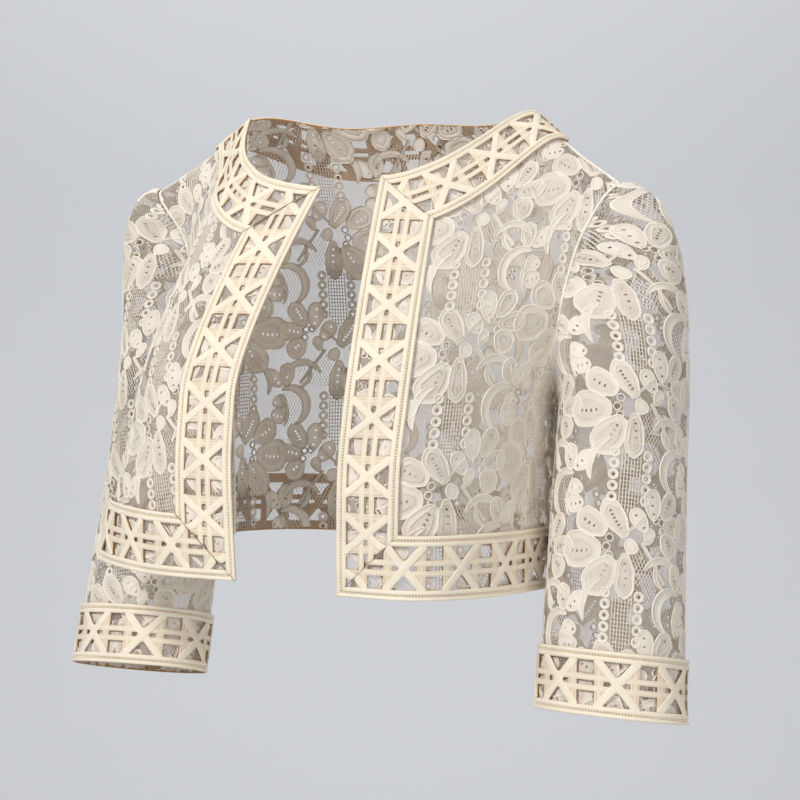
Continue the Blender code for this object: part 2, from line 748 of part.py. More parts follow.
class Sleeve:
    """The left sleeve: flat s runs round the arm from its outer side to the front."""

    def __init__(self, arm, front_armhole, back_armhole):
        """Take the armhole from the shoulder point to the side seam, front and back."""
        self.arm = np.asarray(arm, float)
        ring = self.arm_ring(0)
        turn = arc_lengths(np.vstack((ring, ring[:1])))
        self.round = float(turn[-1])
        self.columns = 80
        self.step = self.round / self.columns
        s_values = self.step * np.arange(self.columns)
        half = 0.5 * self.round
        levels = len(self.arm)
        rings = []
        for k in range(levels):
            loop = self.arm_ring(k)
            arcs = arc_lengths(np.vstack((loop, loop[:1])))
            share = self.by_half(loop, arcs, s_values / self.round)
            rings.append(share)
        columns = []
        zeros = []
        self.cap_t = []
        q = np.linspace(0.0, 1.0, 50)
        front_arcs = arc_lengths(front_armhole)[-1]
        back_arcs = arc_lengths(back_armhole)[-1]
        for i, s in enumerate(s_values):
            if s <= half:
                start = at_length(front_armhole, s / half * front_arcs)[0]
            else:
                start = at_length(back_armhole, (self.round - s) / half * back_arcs)[0]
            start = start + np.array([ARMHOLE_STEP, 0.0, 0.0])
            lower = np.stack([ring[i] for ring in rings])
            limb, _ = smooth_curve(lower[::-1])
            height = 0.5 * (1.0 + math.cos(2.0 * math.pi * s / self.round))
            fall = np.linalg.norm(start - lower[0])
            out = unit(np.array([0.30 + 0.70 * height, 0.0, -1.0 + 0.85 * height]))
            down = unit(limb[-2] - limb[-1])
            cap = hermite(start, out * fall * (0.55 + 0.45 * height), lower[0],
                          down * fall * (0.9 + 0.25 * height), q)
            column = np.concatenate((limb, cap[::-1][1:]))
            arcs = arc_lengths(column)
            columns.append(column)
            zeros.append(arcs[len(limb) - 1])
            self.cap_t.append(arcs[-1] - arcs[len(limb) - 1])
        self.cap_t = np.array(self.cap_t)
        self.down_t = -np.array(zeros)
        self.cloth = Cloth(columns, self.step, 0.0, (-0.220, 0.220), zeros, -1.0, closed=True)
        self.s_values = s_values

    def arm_ring(self, k):
        """Dense ring round the arm at a level, from its outer side to the front."""
        height, x, y, half_width, half_depth, drop = self.arm[k]
        low = self.arm[min(k + 1, len(self.arm) - 1)]
        high = self.arm[max(k - 1, 0)]
        axis = unit(np.array([low[1] - high[1], low[2] - high[2], low[0] - high[0]]))
        front = unit(np.cross(axis, np.array([1.0, 0.0, 0.0])))
        front = front if front[1] < 0 else -front
        across = unit(np.array([1.0, 0.0, -0.5 * drop / half_width]))
        angles = np.linspace(0.0, 2.0 * math.pi, 240, endpoint=False)
        return (
            np.array([x, y, height])
            + np.outer(np.cos(angles) * half_width, across)
            + np.outer(np.sin(angles) * half_depth, front)
        )

    @staticmethod
    def by_half(loop, arcs, shares):
        """Ring points at even lengths from the outer side, front half then back half."""
        closed = np.vstack((loop, loop[:1]))
        middle = arcs[len(loop) // 2]
        lengths = np.where(
            shares <= 0.5, shares * 2.0 * middle, middle + (shares - 0.5) * 2.0 * (arcs[-1] - middle)
        )
        return at_length(closed, lengths)

    def top_t(self, s):
        """Flat height of the armhole seam."""
        wrapped = np.mod(s, self.round)
        return np.interp(wrapped, np.append(self.s_values, self.round),
                         np.append(self.cap_t, self.cap_t[0]))

    def cuff_t(self, s):
        """Flat height of the cuff's lower edge."""
        wrapped = np.mod(s, self.round)
        return np.interp(wrapped, np.append(self.s_values, self.round),
                         np.append(self.down_t, self.down_t[0]))

    def gather(self, s, t):
        """How far the gathers at the sleeve head lift the cloth."""
        from_top = np.mod(s + 0.5 * self.round, self.round) - 0.5 * self.round
        across = np.clip(1.0 - (from_top / GATHER_REACH) ** 2, 0.0, 1.0)
        below = np.clip((self.top_t(s) - t) / GATHER_LENGTH, 0.0, 1.0)
        fade = (1.0 - below) ** 1.5 * np.clip(below * 9.0, 0.35, 1.0)
        wave = np.cos(GATHERS * math.pi * from_top / GATHER_REACH)
        return GATHER_DEPTH * across * fade * (wave + 0.4)

    def at(self, s, t):
        """Points and outward normals with the gathers."""
        points, normals = self.cloth.at(s, t)
        return points + self.gather(s, t)[..., None] * normals, normals


def across_right(path):
    """Flat ways across a path, to the right of its run."""
    run = unit(np.gradient(path, axis=0))
    return np.column_stack((run[:, 1], -run[:, 0]))


def before_seam_end(path, seam):
    """A flat path stopped short of its end by half a seam."""
    arcs = arc_lengths(path)
    return np.concatenate((path[arcs < arcs[-1] - 0.002], at_length(path, arcs[-1] - seam)))


def front_outline(half, neck, step):
    """Flat outline of a front, from the neck corner by the shoulder, side and hem."""
    seam = 0.5 * SEAM_GAP
    shoulder = np.linspace(half.neck_s, half.shoulder_s, 8)
    shoulder = np.column_stack((shoulder, half.shoulder_t(shoulder) - seam))
    armhole = resample(half.armhole(ARMHOLE_FRONT), 0.011)[::-1]
    armhole[-1, 0] -= seam
    side = half.side_seam()[::-1] - np.array([seam, 0.0])
    hem = np.linspace(side[-1, 0], 0.0, 16)
    hem = np.column_stack((hem, half.lower_t(hem)))
    edge = np.array([(0.0, float(half.lower_t(0.0))), (0.0, half.corner_t)])
    neck = before_seam_end(resample(neck, 0.010), seam)
    pieces = (neck, shoulder[1:], armhole, resample(side, step)[1:],
              resample(hem, step)[1:], resample(edge, 0.014)[1:])
    return np.array(merge_close([tuple(p) for p in np.concatenate(pieces)], 0.0015))


def back_outline(half, neck):
    """Flat outline of the whole back."""
    seam = 0.5 * SEAM_GAP
    shoulder = np.linspace(half.neck_s, half.shoulder_s, 8)
    shoulder = np.column_stack((shoulder, half.shoulder_t(shoulder) - seam))
    armhole = resample(half.armhole(ARMHOLE_BACK), 0.011)[::-1]
    armhole[-1, 0] -= seam
    neck = before_seam_end(resample(neck, 0.010), seam)
    upper = np.concatenate((neck, shoulder[1:], armhole))
    turn = np.array([-1.0, 1.0])
    left = half.side_seam()[::-1] - np.array([seam, 0.0])
    right = (half.side_seam(True)[::-1] - np.array([seam, 0.0])) * turn
    hem = np.linspace(left[-1, 0], right[-1, 0], 28)
    hem = np.column_stack((hem, half.lower_t(hem)))
    pieces = (upper, resample(left, 0.014)[1:], resample(hem, 0.014)[1:],
              resample(right, 0.014)[::-1][1:], (upper * turn)[::-1][:-1])
    return np.array(merge_close([tuple(p) for p in np.concatenate(pieces)], 0.0015))


def make_panel(name, side, outline, step, material):
    """One lace panel from its flat outline."""
    flat, triangles = triangulate(outline, [], panel_points(outline, step))
    middles, normals = side.at(flat[:, 0], flat[:, 1])
    return shell(name, middles, normals, triangles, LACE_WALL, material)


def make_sleeve(name, sleeve, flip, material):
    """One sleeve with the gathers at its head, open at the armhole and the cuff."""
    dense = np.linspace(-GATHER_REACH, GATHER_REACH, 37)
    rest = np.linspace(GATHER_REACH, sleeve.round - GATHER_REACH, 13)[1:-1]
    s_values = np.concatenate((dense, rest))
    top = sleeve.top_t(s_values)
    low = sleeve.cuff_t(s_values)
    rows = [top - d for d in SLEEVE_TOP_ROWS]
    last = rows[-1]
    rows.extend(last + (low - last) * k / SLEEVE_ROWS for k in range(1, SLEEVE_ROWS + 1))
    t = np.stack(rows, 1)
    s = np.broadcast_to(s_values[:, None], t.shape)
    middles, normals = sleeve.at(s, t)
    n_s, n_t = t.shape
    faces = []
    for i in range(n_s):
        for j in range(n_t - 1):
            k = (i + 1) % n_s
            faces.append((i * n_t + j, k * n_t + j, k * n_t + j + 1, i * n_t + j + 1))
    middles = middles.reshape(-1, 3)
    normals = normals.reshape(-1, 3)
    if flip:
        middles = mirrored(middles)
        normals = mirrored(normals)
    return shell(name, middles, normals, faces, LACE_WALL, material)


def main():
    """Build every piece of the jacket."""
    for old in list(bpy.data.objects):
        bpy.data.objects.remove(old, do_unlink=True)
    group = bpy.data.collections.new(COLLECTION)
    bpy.context.scene.collection.children.link(group)
    lace = lace_material()
    braid = trim_material()
    half_gap = 0.5 * BAND_GAP

    left = BodyHalf(FRONT_LEFT_LEVELS, FRONT_EDGE_TOP_LEFT, True, LEFT_HEM_DROPS,
                    SIDE_FLARE_LEFT, FRONT_CORNER_LEFT_T)
    right = BodyHalf(FRONT_RIGHT_LEVELS, FRONT_EDGE_TOP_RIGHT, True, RIGHT_HEM_DROPS,
                     SIDE_FLARE_RIGHT, FRONT_CORNER_RIGHT_T)
    side_drops = (LEFT_HEM_DROPS[1], RIGHT_HEM_DROPS[1])
    back = BodyHalf(BACK_LEVELS, 0.0, False, side_drops, SIDE_FLARE_LEFT, BACK_NECK_T)
    back_neck = back.neckline(BACK_NECK_REACH)
    gaps = 0

    # Lace panels
    sides = {}
    necks = {}
    for name, half, flip in (("left", left, False), ("right", right, True)):
        sides[name] = Side(half.cloth, flip)
        necks[name] = half.neckline(FRONT_NECK_REACH)
        step = PANEL_STEPS[name]
        outline = front_outline(half, necks[name], 0.7 * step)
        make_panel("front_" + name, sides[name], outline, step, lace)
    back_side = Side(back.cloth, both=True)
    make_panel("back", back_side, back_outline(back, back_neck), PANEL_STEPS["back"], lace)

    # Sleeves
    sleeves = {}
    back_hole = back.armhole(ARMHOLE_BACK)[::-1]
    back_points, _ = Side(back.cloth).at(back_hole[:, 0], back_hole[:, 1])
    for name, half, arm in (("left", left, LEFT_ARM), ("right", right, RIGHT_ARM)):
        front_hole = half.armhole(ARMHOLE_FRONT)[::-1]
        front_points, _ = Side(half.cloth).at(front_hole[:, 0], front_hole[:, 1])
        sleeves[name] = Sleeve(arm, front_points, back_points)
        make_sleeve("sleeve_" + name, sleeves[name], name == "right", lace)

    # Neck band, from the left front corner round the back to the right front corner
    back_right = Side(back.cloth, flip=True)
    back_left = Side(back.cloth)
    legs = []
    legs.append((sides["left"], necks["left"], across_right(necks["left"])))
    legs.append((back_left, back_neck[::-1], across_right(back_neck)[::-1]))
    legs.append((back_right, back_neck, across_right(back_neck)))
    legs.append((sides["right"], necks["right"][::-1], across_right(necks["right"])[::-1]))
    neck_strip = Strip(legs)

    def neck_mitre(corner_t):
        return lambda s, t: (s + t - corner_t) / math.sqrt(2.0) - half_gap

    rows = neck_strip.rows
    ends = BandEnds(rows, neck_strip.crossing(neck_mitre(left.corner_t), True),
                    neck_strip.crossing(neck_mitre(right.corner_t), False))
    count = round(neck_strip.length / NECK_PITCH - NECK_SPARE_REPEATS)
    pitch = neck_strip.length / (count + NECK_SPARE_REPEATS)
    gaps += make_band("neck_band", neck_strip, ends, 0.0, CURVED_LIFT, braid, pitch)

    # Bands down the fronts and along the hem
    for name, half in (("left", left), ("right", right)):
        side = sides[name]
        low = float(half.lower_t(0.0))
        path = np.column_stack((np.zeros(80), np.linspace(low, half.corner_t, 80)))
        strip = Strip([(side, path, np.tile((1.0, 0.0), (80, 1)))])

        def front_side(s, t, low=low):
            return ((t - low) - s) / math.sqrt(2.0) - half_gap

        def under_neck(s, t, high=half.corner_t):
            return (high - t - s) / math.sqrt(2.0) - half_gap

        ends = BandEnds(rows, strip.crossing(front_side, True),
                        strip.crossing(under_neck, False))
        gaps += make_band("front_band_" + name, strip, ends, FRONT_PHASE, FLAT_LIFT, braid,
                          BAND_PITCH)

        reach = half.side_s(HEM_Z)
        path = np.linspace(0.0, reach + 0.010, 90)
        path = np.column_stack((path, half.lower_t(path)))
        strip = Strip([(side, path, -across_right(path))])

        def hem_side(s, t, low=low):
            return (s - (t - low)) / math.sqrt(2.0) - half_gap

        seam_line = half.side_seam()

        def before_seam(s, t, seam_line=seam_line):
            return float(np.interp(t, seam_line[:, 1], seam_line[:, 0])) - s - half_gap

        ends = BandEnds(rows, strip.crossing(hem_side, True),
                        strip.crossing(before_seam, False))
        gaps += make_band("hem_band_" + name, strip, ends, HEM_PHASE, FOLDED_LIFT, braid,
                          BAND_PITCH, FINE_STATION)

    reach = back.side_s(HEM_Z) + 0.008
    path = np.linspace(-reach, reach, 160)
    path = np.column_stack((path, back.lower_t(path)))
    strip = Strip([(back_side, path, -across_right(path))])
    left_seam = back.side_seam()
    right_seam = back.side_seam(True)

    def within_back(s, t):
        seam_line = right_seam if s < 0.0 else left_seam
        edge = float(np.interp(t, seam_line[:, 1], seam_line[:, 0]))
        return edge - abs(s) - half_gap

    start = strip.crossing(within_back, True)
    stop = strip.crossing(within_back, False)
    ends = BandEnds(rows, start, stop)
    width = float(stop[6] - start[6])
    count = round(width / BAND_PITCH)
    gaps += make_band("hem_band_back", strip, ends, float(start[6]), FLAT_LIFT, braid,
                      width / count)

    # Cuffs, each tube in two lengths
    for name, sleeve in sleeves.items():
        path = np.linspace(0.0, sleeve.round, 161)
        path = np.column_stack((path, sleeve.cuff_t(path)))
        tube = Side(sleeve.cloth, name == "right")
        strip = Strip([(tube, path, np.tile((0.0, 1.0), (161, 1)))])
        pitch = strip.length / CUFF_REPEATS
        split = CUFF_FRONT_REPEATS * pitch
        for part, start, stop in (("front", 0.0, split), ("back", split, strip.length)):
            ends = BandEnds(rows, start + half_gap, stop - half_gap)
            gaps += make_band("cuff_band_" + name + "_" + part, strip, ends,
                              CUFF_PHASE * pitch, CURVED_LIFT, braid, pitch)
    print("cut gaps:", gaps)


main()
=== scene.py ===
"""Looks of the open-front lace jacket: floral lace panels edged with corded cutwork braid.

Metres, +Z up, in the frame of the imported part: the front faces -Y, +X is the wearer's left and
the origin is the middle of the neck opening. Each lace panel and each braid is laid out flat in
its own cutting lengths first, then mapped onto the surface of the cloth, so that every petal,
thread and cord follows it.
"""

import json
import logging
import math
from collections.abc import Callable, Sequence
from dataclasses import dataclass, field
from enum import Enum
from typing import Any

import bpy
import numpy as np
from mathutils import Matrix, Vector
from mathutils.geometry import delaunay_2d_cdt

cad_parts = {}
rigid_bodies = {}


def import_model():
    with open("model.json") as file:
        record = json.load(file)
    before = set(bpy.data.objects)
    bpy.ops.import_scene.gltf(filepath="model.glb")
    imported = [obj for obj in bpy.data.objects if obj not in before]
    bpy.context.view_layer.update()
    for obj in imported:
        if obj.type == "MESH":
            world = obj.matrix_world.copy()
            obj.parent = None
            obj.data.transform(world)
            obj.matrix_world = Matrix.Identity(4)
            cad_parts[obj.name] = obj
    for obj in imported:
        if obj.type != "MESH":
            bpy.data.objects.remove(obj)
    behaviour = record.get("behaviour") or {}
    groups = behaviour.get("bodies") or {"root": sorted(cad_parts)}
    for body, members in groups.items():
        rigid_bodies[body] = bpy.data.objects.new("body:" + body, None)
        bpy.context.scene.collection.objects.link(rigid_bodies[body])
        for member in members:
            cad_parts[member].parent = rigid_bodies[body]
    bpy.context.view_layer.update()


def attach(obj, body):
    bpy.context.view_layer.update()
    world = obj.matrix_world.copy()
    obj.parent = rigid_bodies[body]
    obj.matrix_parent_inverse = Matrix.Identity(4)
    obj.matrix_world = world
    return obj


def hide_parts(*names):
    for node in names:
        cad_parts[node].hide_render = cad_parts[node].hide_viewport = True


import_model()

LOG = logging.getLogger("lace_jacket")
Array = np.ndarray
Table = Sequence[Sequence[float]]
Test = Callable[[float, float], float]
Colour = tuple[float, float, float, float]
Material = bpy.types.Material
Socket = bpy.types.NodeSocket
MM = 0.001

# Seams, and how far the braids lie off the lace
HALF_SEAM = 0.0002
FLAT_LIFT = 0.0020
CURVED_LIFT = 0.0025
FOLDED_LIFT = 0.0029

# Neck and shoulders: the line over the shoulder, from the centre of the neck outwards
NECK_POINT_X = 0.106
SHOULDER_POINT_X = 0.173
SHOULDER_LINE = (
    # x, y, z
    (0.000, 0.000, 0.045),
    (0.053, 0.000, 0.027),
    (0.106, 0.002, 0.000),
    (0.142, -0.004, -0.028),
    (0.173, -0.011, -0.048),
    (0.208, -0.018, -0.075),
)
FRONT_EDGE_TOP_LEFT = 0.024
FRONT_EDGE_TOP_RIGHT = -0.020
FRONT_CORNER_LEFT_T = 0.156
FRONT_CORNER_RIGHT_T = 0.152
BACK_NECK_T = 0.190
FRONT_NECK_REACH = 0.75
BACK_NECK_REACH = 0.80

# Body levels from the hem up to the armholes
HEM_Z = -0.306
LEFT_HEM_DROPS = (0.004, 0.010)
RIGHT_HEM_DROPS = (-0.002, -0.013)
CHEST_Z = -0.185
FRONT_LEFT_LEVELS = (
    # height, edge_x, edge_y, breast_x, breast_y, turn_x, turn_y, tuck_x, tuck_y, side_x, side_y
    (-0.306, 0.026, -0.130, 0.080, -0.124, 0.112, -0.080, 0.120, -0.040, 0.122, 0.000),
    (-0.265, 0.028, -0.134, 0.080, -0.128, 0.113, -0.082, 0.121, -0.040, 0.122, 0.000),
    (-0.225, 0.030, -0.136, 0.080, -0.130, 0.114, -0.082, 0.122, -0.040, 0.122, 0.000),
    (-0.185, 0.033, -0.133, 0.078, -0.127, 0.114, -0.080, 0.123, -0.040, 0.123, 0.000),
)
FRONT_RIGHT_LEVELS = (
    # height, edge_x, edge_y, breast_x, breast_y, turn_x, turn_y, tuck_x, tuck_y, side_x, side_y
    (-0.306, 0.044, -0.136, 0.118, -0.134, 0.175, -0.092, 0.150, -0.052, 0.122, 0.000),
    (-0.265, 0.045, -0.138, 0.111, -0.135, 0.164, -0.092, 0.147, -0.051, 0.122, 0.000),
    (-0.225, 0.046, -0.138, 0.105, -0.133, 0.154, -0.089, 0.143, -0.049, 0.122, 0.000),
    (-0.185, 0.046, -0.133, 0.100, -0.128, 0.146, -0.087, 0.140, -0.049, 0.123, 0.000),
)
BACK_LEVELS = (
    # height, centre_x, centre_y, blade_x, blade_y, turn_x, turn_y, side_x, side_y
    (-0.306, 0.000, 0.098, 0.065, 0.092, 0.109, 0.054, 0.122, 0.000),
    (-0.265, 0.000, 0.096, 0.065, 0.091, 0.108, 0.053, 0.122, 0.000),
    (-0.225, 0.000, 0.096, 0.065, 0.092, 0.108, 0.053, 0.122, 0.000),
    (-0.185, 0.000, 0.098, 0.065, 0.095, 0.110, 0.056, 0.123, 0.000),
)
BELOW_HEM = 0.028
PAST_SIDE = 0.016
RISE_LOSS = 0.45
NECK_FULLNESS = 1.1
FRONT_RISE = 0.160
FRONT_LEAN = 0.105
BACK_RISE = 0.150
BACK_LEAN = 0.190
SIDE_LEAN = 0.110
SIDE_FLARE_LEFT = 0.75
SIDE_FLARE_RIGHT = 0.95

# Armholes, in flat lengths inwards from the side seam and up from the chest line
ARMHOLE_FRONT = (
    # inwards, up
    (0.000, 0.000),
    (0.020, 0.011),
    (0.032, 0.045),
    (0.026, 0.090),
)
ARMHOLE_BACK = (
    # inwards, up
    (0.000, 0.000),
    (0.018, 0.011),
    (0.028, 0.045),
    (0.023, 0.090),
)

# Sleeves: the middle line of the arm with the half widths across and front to back
LEFT_ARM = (
    # height, x, y, half_width, half_depth, outer_drop
    (-0.196, 0.1715, 0.003, 0.0410, 0.0525, 0.000),
    (-0.260, 0.1735, -0.012, 0.0430, 0.0495, 0.001),
    (-0.325, 0.1760, -0.026, 0.0455, 0.0440, 0.002),
    (-0.392, 0.1785, -0.040, 0.0480, 0.0390, 0.003),
)
RIGHT_ARM = (
    # height, x, y, half_width, half_depth, outer_drop
    (-0.196, 0.1740, 0.009, 0.0410, 0.0525, 0.000),
    (-0.260, 0.1810, 0.005, 0.0430, 0.0495, 0.001),
    (-0.325, 0.1855, -0.009, 0.0455, 0.0440, 0.002),
    (-0.392, 0.1870, -0.027, 0.0480, 0.0390, 0.003),
)
ARMHOLE_STEP = 0.0016
GATHERS = 9
GATHER_REACH = 0.100
GATHER_DEPTH = 0.0026
GATHER_LENGTH = 0.060
GATHER_FADE = (1.5, 9.0, 0.35)
GATHER_LIFT = 0.4

# Trim band, in lengths across and along one repeat
BAND = 0.042
BORDER = 0.007
SIDE_GAP = 0.00875
REPEAT = 0.040
BAND_PITCH = 0.0368
NECK_PITCH = 0.0390
NECK_SPARE_REPEATS = 1.56
FRONT_PHASE = -0.0052
HEM_PHASE = -0.0010
CUFF_PHASE = 0.05
CUFF_REPEATS = 7
CUFF_FRONT_REPEATS = 4

# Steps of the grids and curves
GRID = 0.004
CURVE_STEPS = 24
BLEND = 0.5 * np.array([(0, -1, 2, -1), (2, 0, -5, 3), (0, 1, 4, -3), (0, 0, -1, 1)])
NECK_CORNERS = 0.010
ARMHOLE_CORNERS = 0.011
FRONT_CORNERS = 0.008
EDGE_CORNERS = 0.014
CLOSE_CORNERS = 0.0015
BODY_T = (-0.144, 0.300)
SLEEVE_T = (-0.220, 0.220)


def unit(vectors: Array) -> Array:
    """Set vectors to length one.

    Args:
        vectors: Vectors along the last axis.

    Returns:
        The same vectors at length one.
    """
    vectors = np.asarray(vectors, float)
    length = np.linalg.norm(vectors, axis=-1, keepdims=True)
    return vectors / np.maximum(length, 1e-12)


def hermite(p0: Array, d0: Array, p1: Array, d1: Array, q: Array) -> Array:
    """Draw a curve between two points with end directions.

    Args:
        p0: First point.
        d0: Direction at it.
        p1: Last point.
        d1: Direction at it.
        q: Shares of the way, from 0 to 1.

    Returns:
        One point for each share.
    """
    q = np.asarray(q, float)[:, None]
    return (
        (2 * q**3 - 3 * q**2 + 1) * p0
        + (q**3 - 2 * q**2 + q) * d0
        + (3 * q**2 - 2 * q**3) * p1
        + (q**3 - q**2) * d1
    )


def smooth_curve(
    points: Array, start: Sequence[float] | None = None, end: Sequence[float] | None = None,
) -> Array:
    """Draw a dense smooth curve through points.

    Args:
        points: The points, in order.
        start: Direction at the first point, if set.
        end: Direction at the last point, if set.

    Returns:
        The dense curve.
    """
    points = np.asarray(points, float)
    chord = np.linalg.norm(np.diff(points, axis=0), axis=1)
    slopes = np.empty_like(points)
    for i in range(1, len(points) - 1):
        before = (points[i] - points[i - 1]) / chord[i - 1]
        after = (points[i + 1] - points[i]) / chord[i]
        slopes[i] = (before * chord[i] + after * chord[i - 1]) / (chord[i] + chord[i - 1])
    first = (points[1] - points[0]) / chord[0]
    last = (points[-1] - points[-2]) / chord[-1]
    slopes[0] = 1.5 * first - 0.5 * slopes[1] if start is None else unit(start)
    slopes[-1] = 1.5 * last - 0.5 * slopes[-2] if end is None else unit(end)
    curve = [points[:1]]
    shares = np.arange(1, CURVE_STEPS + 1) / CURVE_STEPS
    for i, span in enumerate(chord):
        curve.append(hermite(points[i], span * slopes[i], points[i + 1], span * slopes[i + 1],
                             shares))
    return np.concatenate(curve)


def arc_lengths(curve: Array) -> Array:
    """Measure a curve from its start.

    Args:
        curve: Points of the curve.

    Returns:
        The length along it at each point.
    """
    return np.concatenate(([0.0], np.cumsum(np.linalg.norm(np.diff(curve, axis=0), axis=1))))


def at_length(curve: Array, lengths: Array | float) -> Array:
    """Read a curve at lengths along it, run on straight past either end.

    Args:
        curve: Points of the curve.
        lengths: Lengths from its start.

    Returns:
        One point for each length.
    """
    curve = np.asarray(curve, float)
    arcs = arc_lengths(curve)
    lengths = np.atleast_1d(np.asarray(lengths, float))
    inside = np.clip(lengths, 0.0, arcs[-1])
    found = np.stack([np.interp(inside, arcs, curve[:, k]) for k in range(curve.shape[1])], -1)
    head = unit(curve[1] - curve[0])
    tail = unit(curve[-1] - curve[-2])
    return found + np.outer(lengths - inside, 1.0) * np.where((lengths < 0)[:, None], head, tail)


def table_at(table: Table, height: float) -> Array:
    """Read a table of levels at a height, by a smooth curve through its rows.

    Args:
        table: Rows that start with their height.
        height: The height to read.

    Returns:
        The other columns at that height.
    """
    table = np.asarray(table, float)
    heights = table[:, 0]
    slopes = np.gradient(table[:, 1:], heights, axis=0)
    i = int(np.clip(np.searchsorted(heights, height) - 1, 0, len(heights) - 2))
    span = heights[i + 1] - heights[i]
    q = (height - heights[i]) / span
    if q < 0.0 or q > 1.0:
        base = 0 if q < 0.0 else len(heights) - 1
        return table[base, 1:] + slopes[base] * (height - heights[base])
    return hermite(table[i, 1:], span * slopes[i], table[i + 1, 1:], span * slopes[i + 1],
                   [q])[0]


class Cloth:
    """A surface over flat lengths, kept as an even grid and read between its points."""

    def __init__(
        self, columns: Sequence[Array], s_step: float, s_start: float,
        t_range: tuple[float, float], zero_lengths: Sequence[float], outward: float,
        closed: bool = False,
    ) -> None:
        """Cut dense columns of points into an even grid.

        Args:
            columns: Dense points up the cloth, one list for each s.
            s_step: Step from one column to the next.
            s_start: Flat s of the first column.
            t_range: Lowest and highest flat t.
            zero_lengths: Length up each column at which t is zero.
            outward: 1 or -1, whichever turns the normals out.
            closed: Whether the columns go all the way round.
        """
        t_start, t_end = t_range
        self.s_step = s_step
        self.s_start = s_start
        self.t_start = t_start
        self.outward = outward
        self.closed = closed
        rows = int(round((t_end - t_start) / GRID)) + 1
        t_values = t_start + GRID * np.arange(rows)
        self.grid = np.stack(
            [at_length(column, t_values + zero) for column, zero in zip(columns, zero_lengths)]
        )

    @staticmethod
    def weights(x: Array) -> tuple[Array, Array]:
        """Weigh the four grid points round a place.

        Args:
            x: Share of the way between the middle two.

        Returns:
            The weights and their slopes.
        """
        one = np.ones_like(x)
        value = np.tensordot(BLEND, np.stack([one, x, x**2, x**3]), 1)
        slope = np.tensordot(BLEND, np.stack([0.0 * one, one, 2.0 * x, 3.0 * x**2]), 1)
        return value, slope

    def at(self, s: Array, t: Array) -> tuple[Array, Array]:
        """Read flat places on the cloth.

        Args:
            s: Flat lengths across.
            t: Flat lengths up.

        Returns:
            The points and their outward normals.
        """
        s, t = np.broadcast_arrays(np.asarray(s, float), np.asarray(t, float))
        n_s, n_t = self.grid.shape[:2]
        a = (s - self.s_start) / self.s_step
        b = (t - self.t_start) / GRID
        i = np.floor(a).astype(int)
        if not self.closed:
            i = np.clip(i, 1, n_s - 3)
        j = np.clip(np.floor(b).astype(int), 1, n_t - 3)
        ws, ds = self.weights(np.clip(a - i, -0.5, 1.5))
        wt, dt = self.weights(np.clip(b - j, -0.5, 1.5))
        point = 0.0
        along_s = 0.0
        along_t = 0.0
        for p in range(4):
            row = (i + p - 1) % n_s if self.closed else i + p - 1
            for q in range(4):
                node = self.grid[row, j + q - 1]
                point = point + (ws[p] * wt[q])[..., None] * node
                along_s = along_s + (ds[p] * wt[q])[..., None] * node
                along_t = along_t + (ws[p] * dt[q])[..., None] * node
        return point, self.outward * unit(np.cross(along_s, along_t))


def mirrored(points: Array) -> Array:
    """Return points on the other side of the body."""
    return points * np.array([-1.0, 1.0, 1.0])


def shoulder_line() -> Array:
    """Return the dense line over the left shoulder, run on a little past the middle."""
    curve = smooth_curve(SHOULDER_LINE, start=(1.0, 0.0, 0.0))
    beyond = mirrored(curve[1:20])[::-1]
    return np.concatenate((beyond, curve))


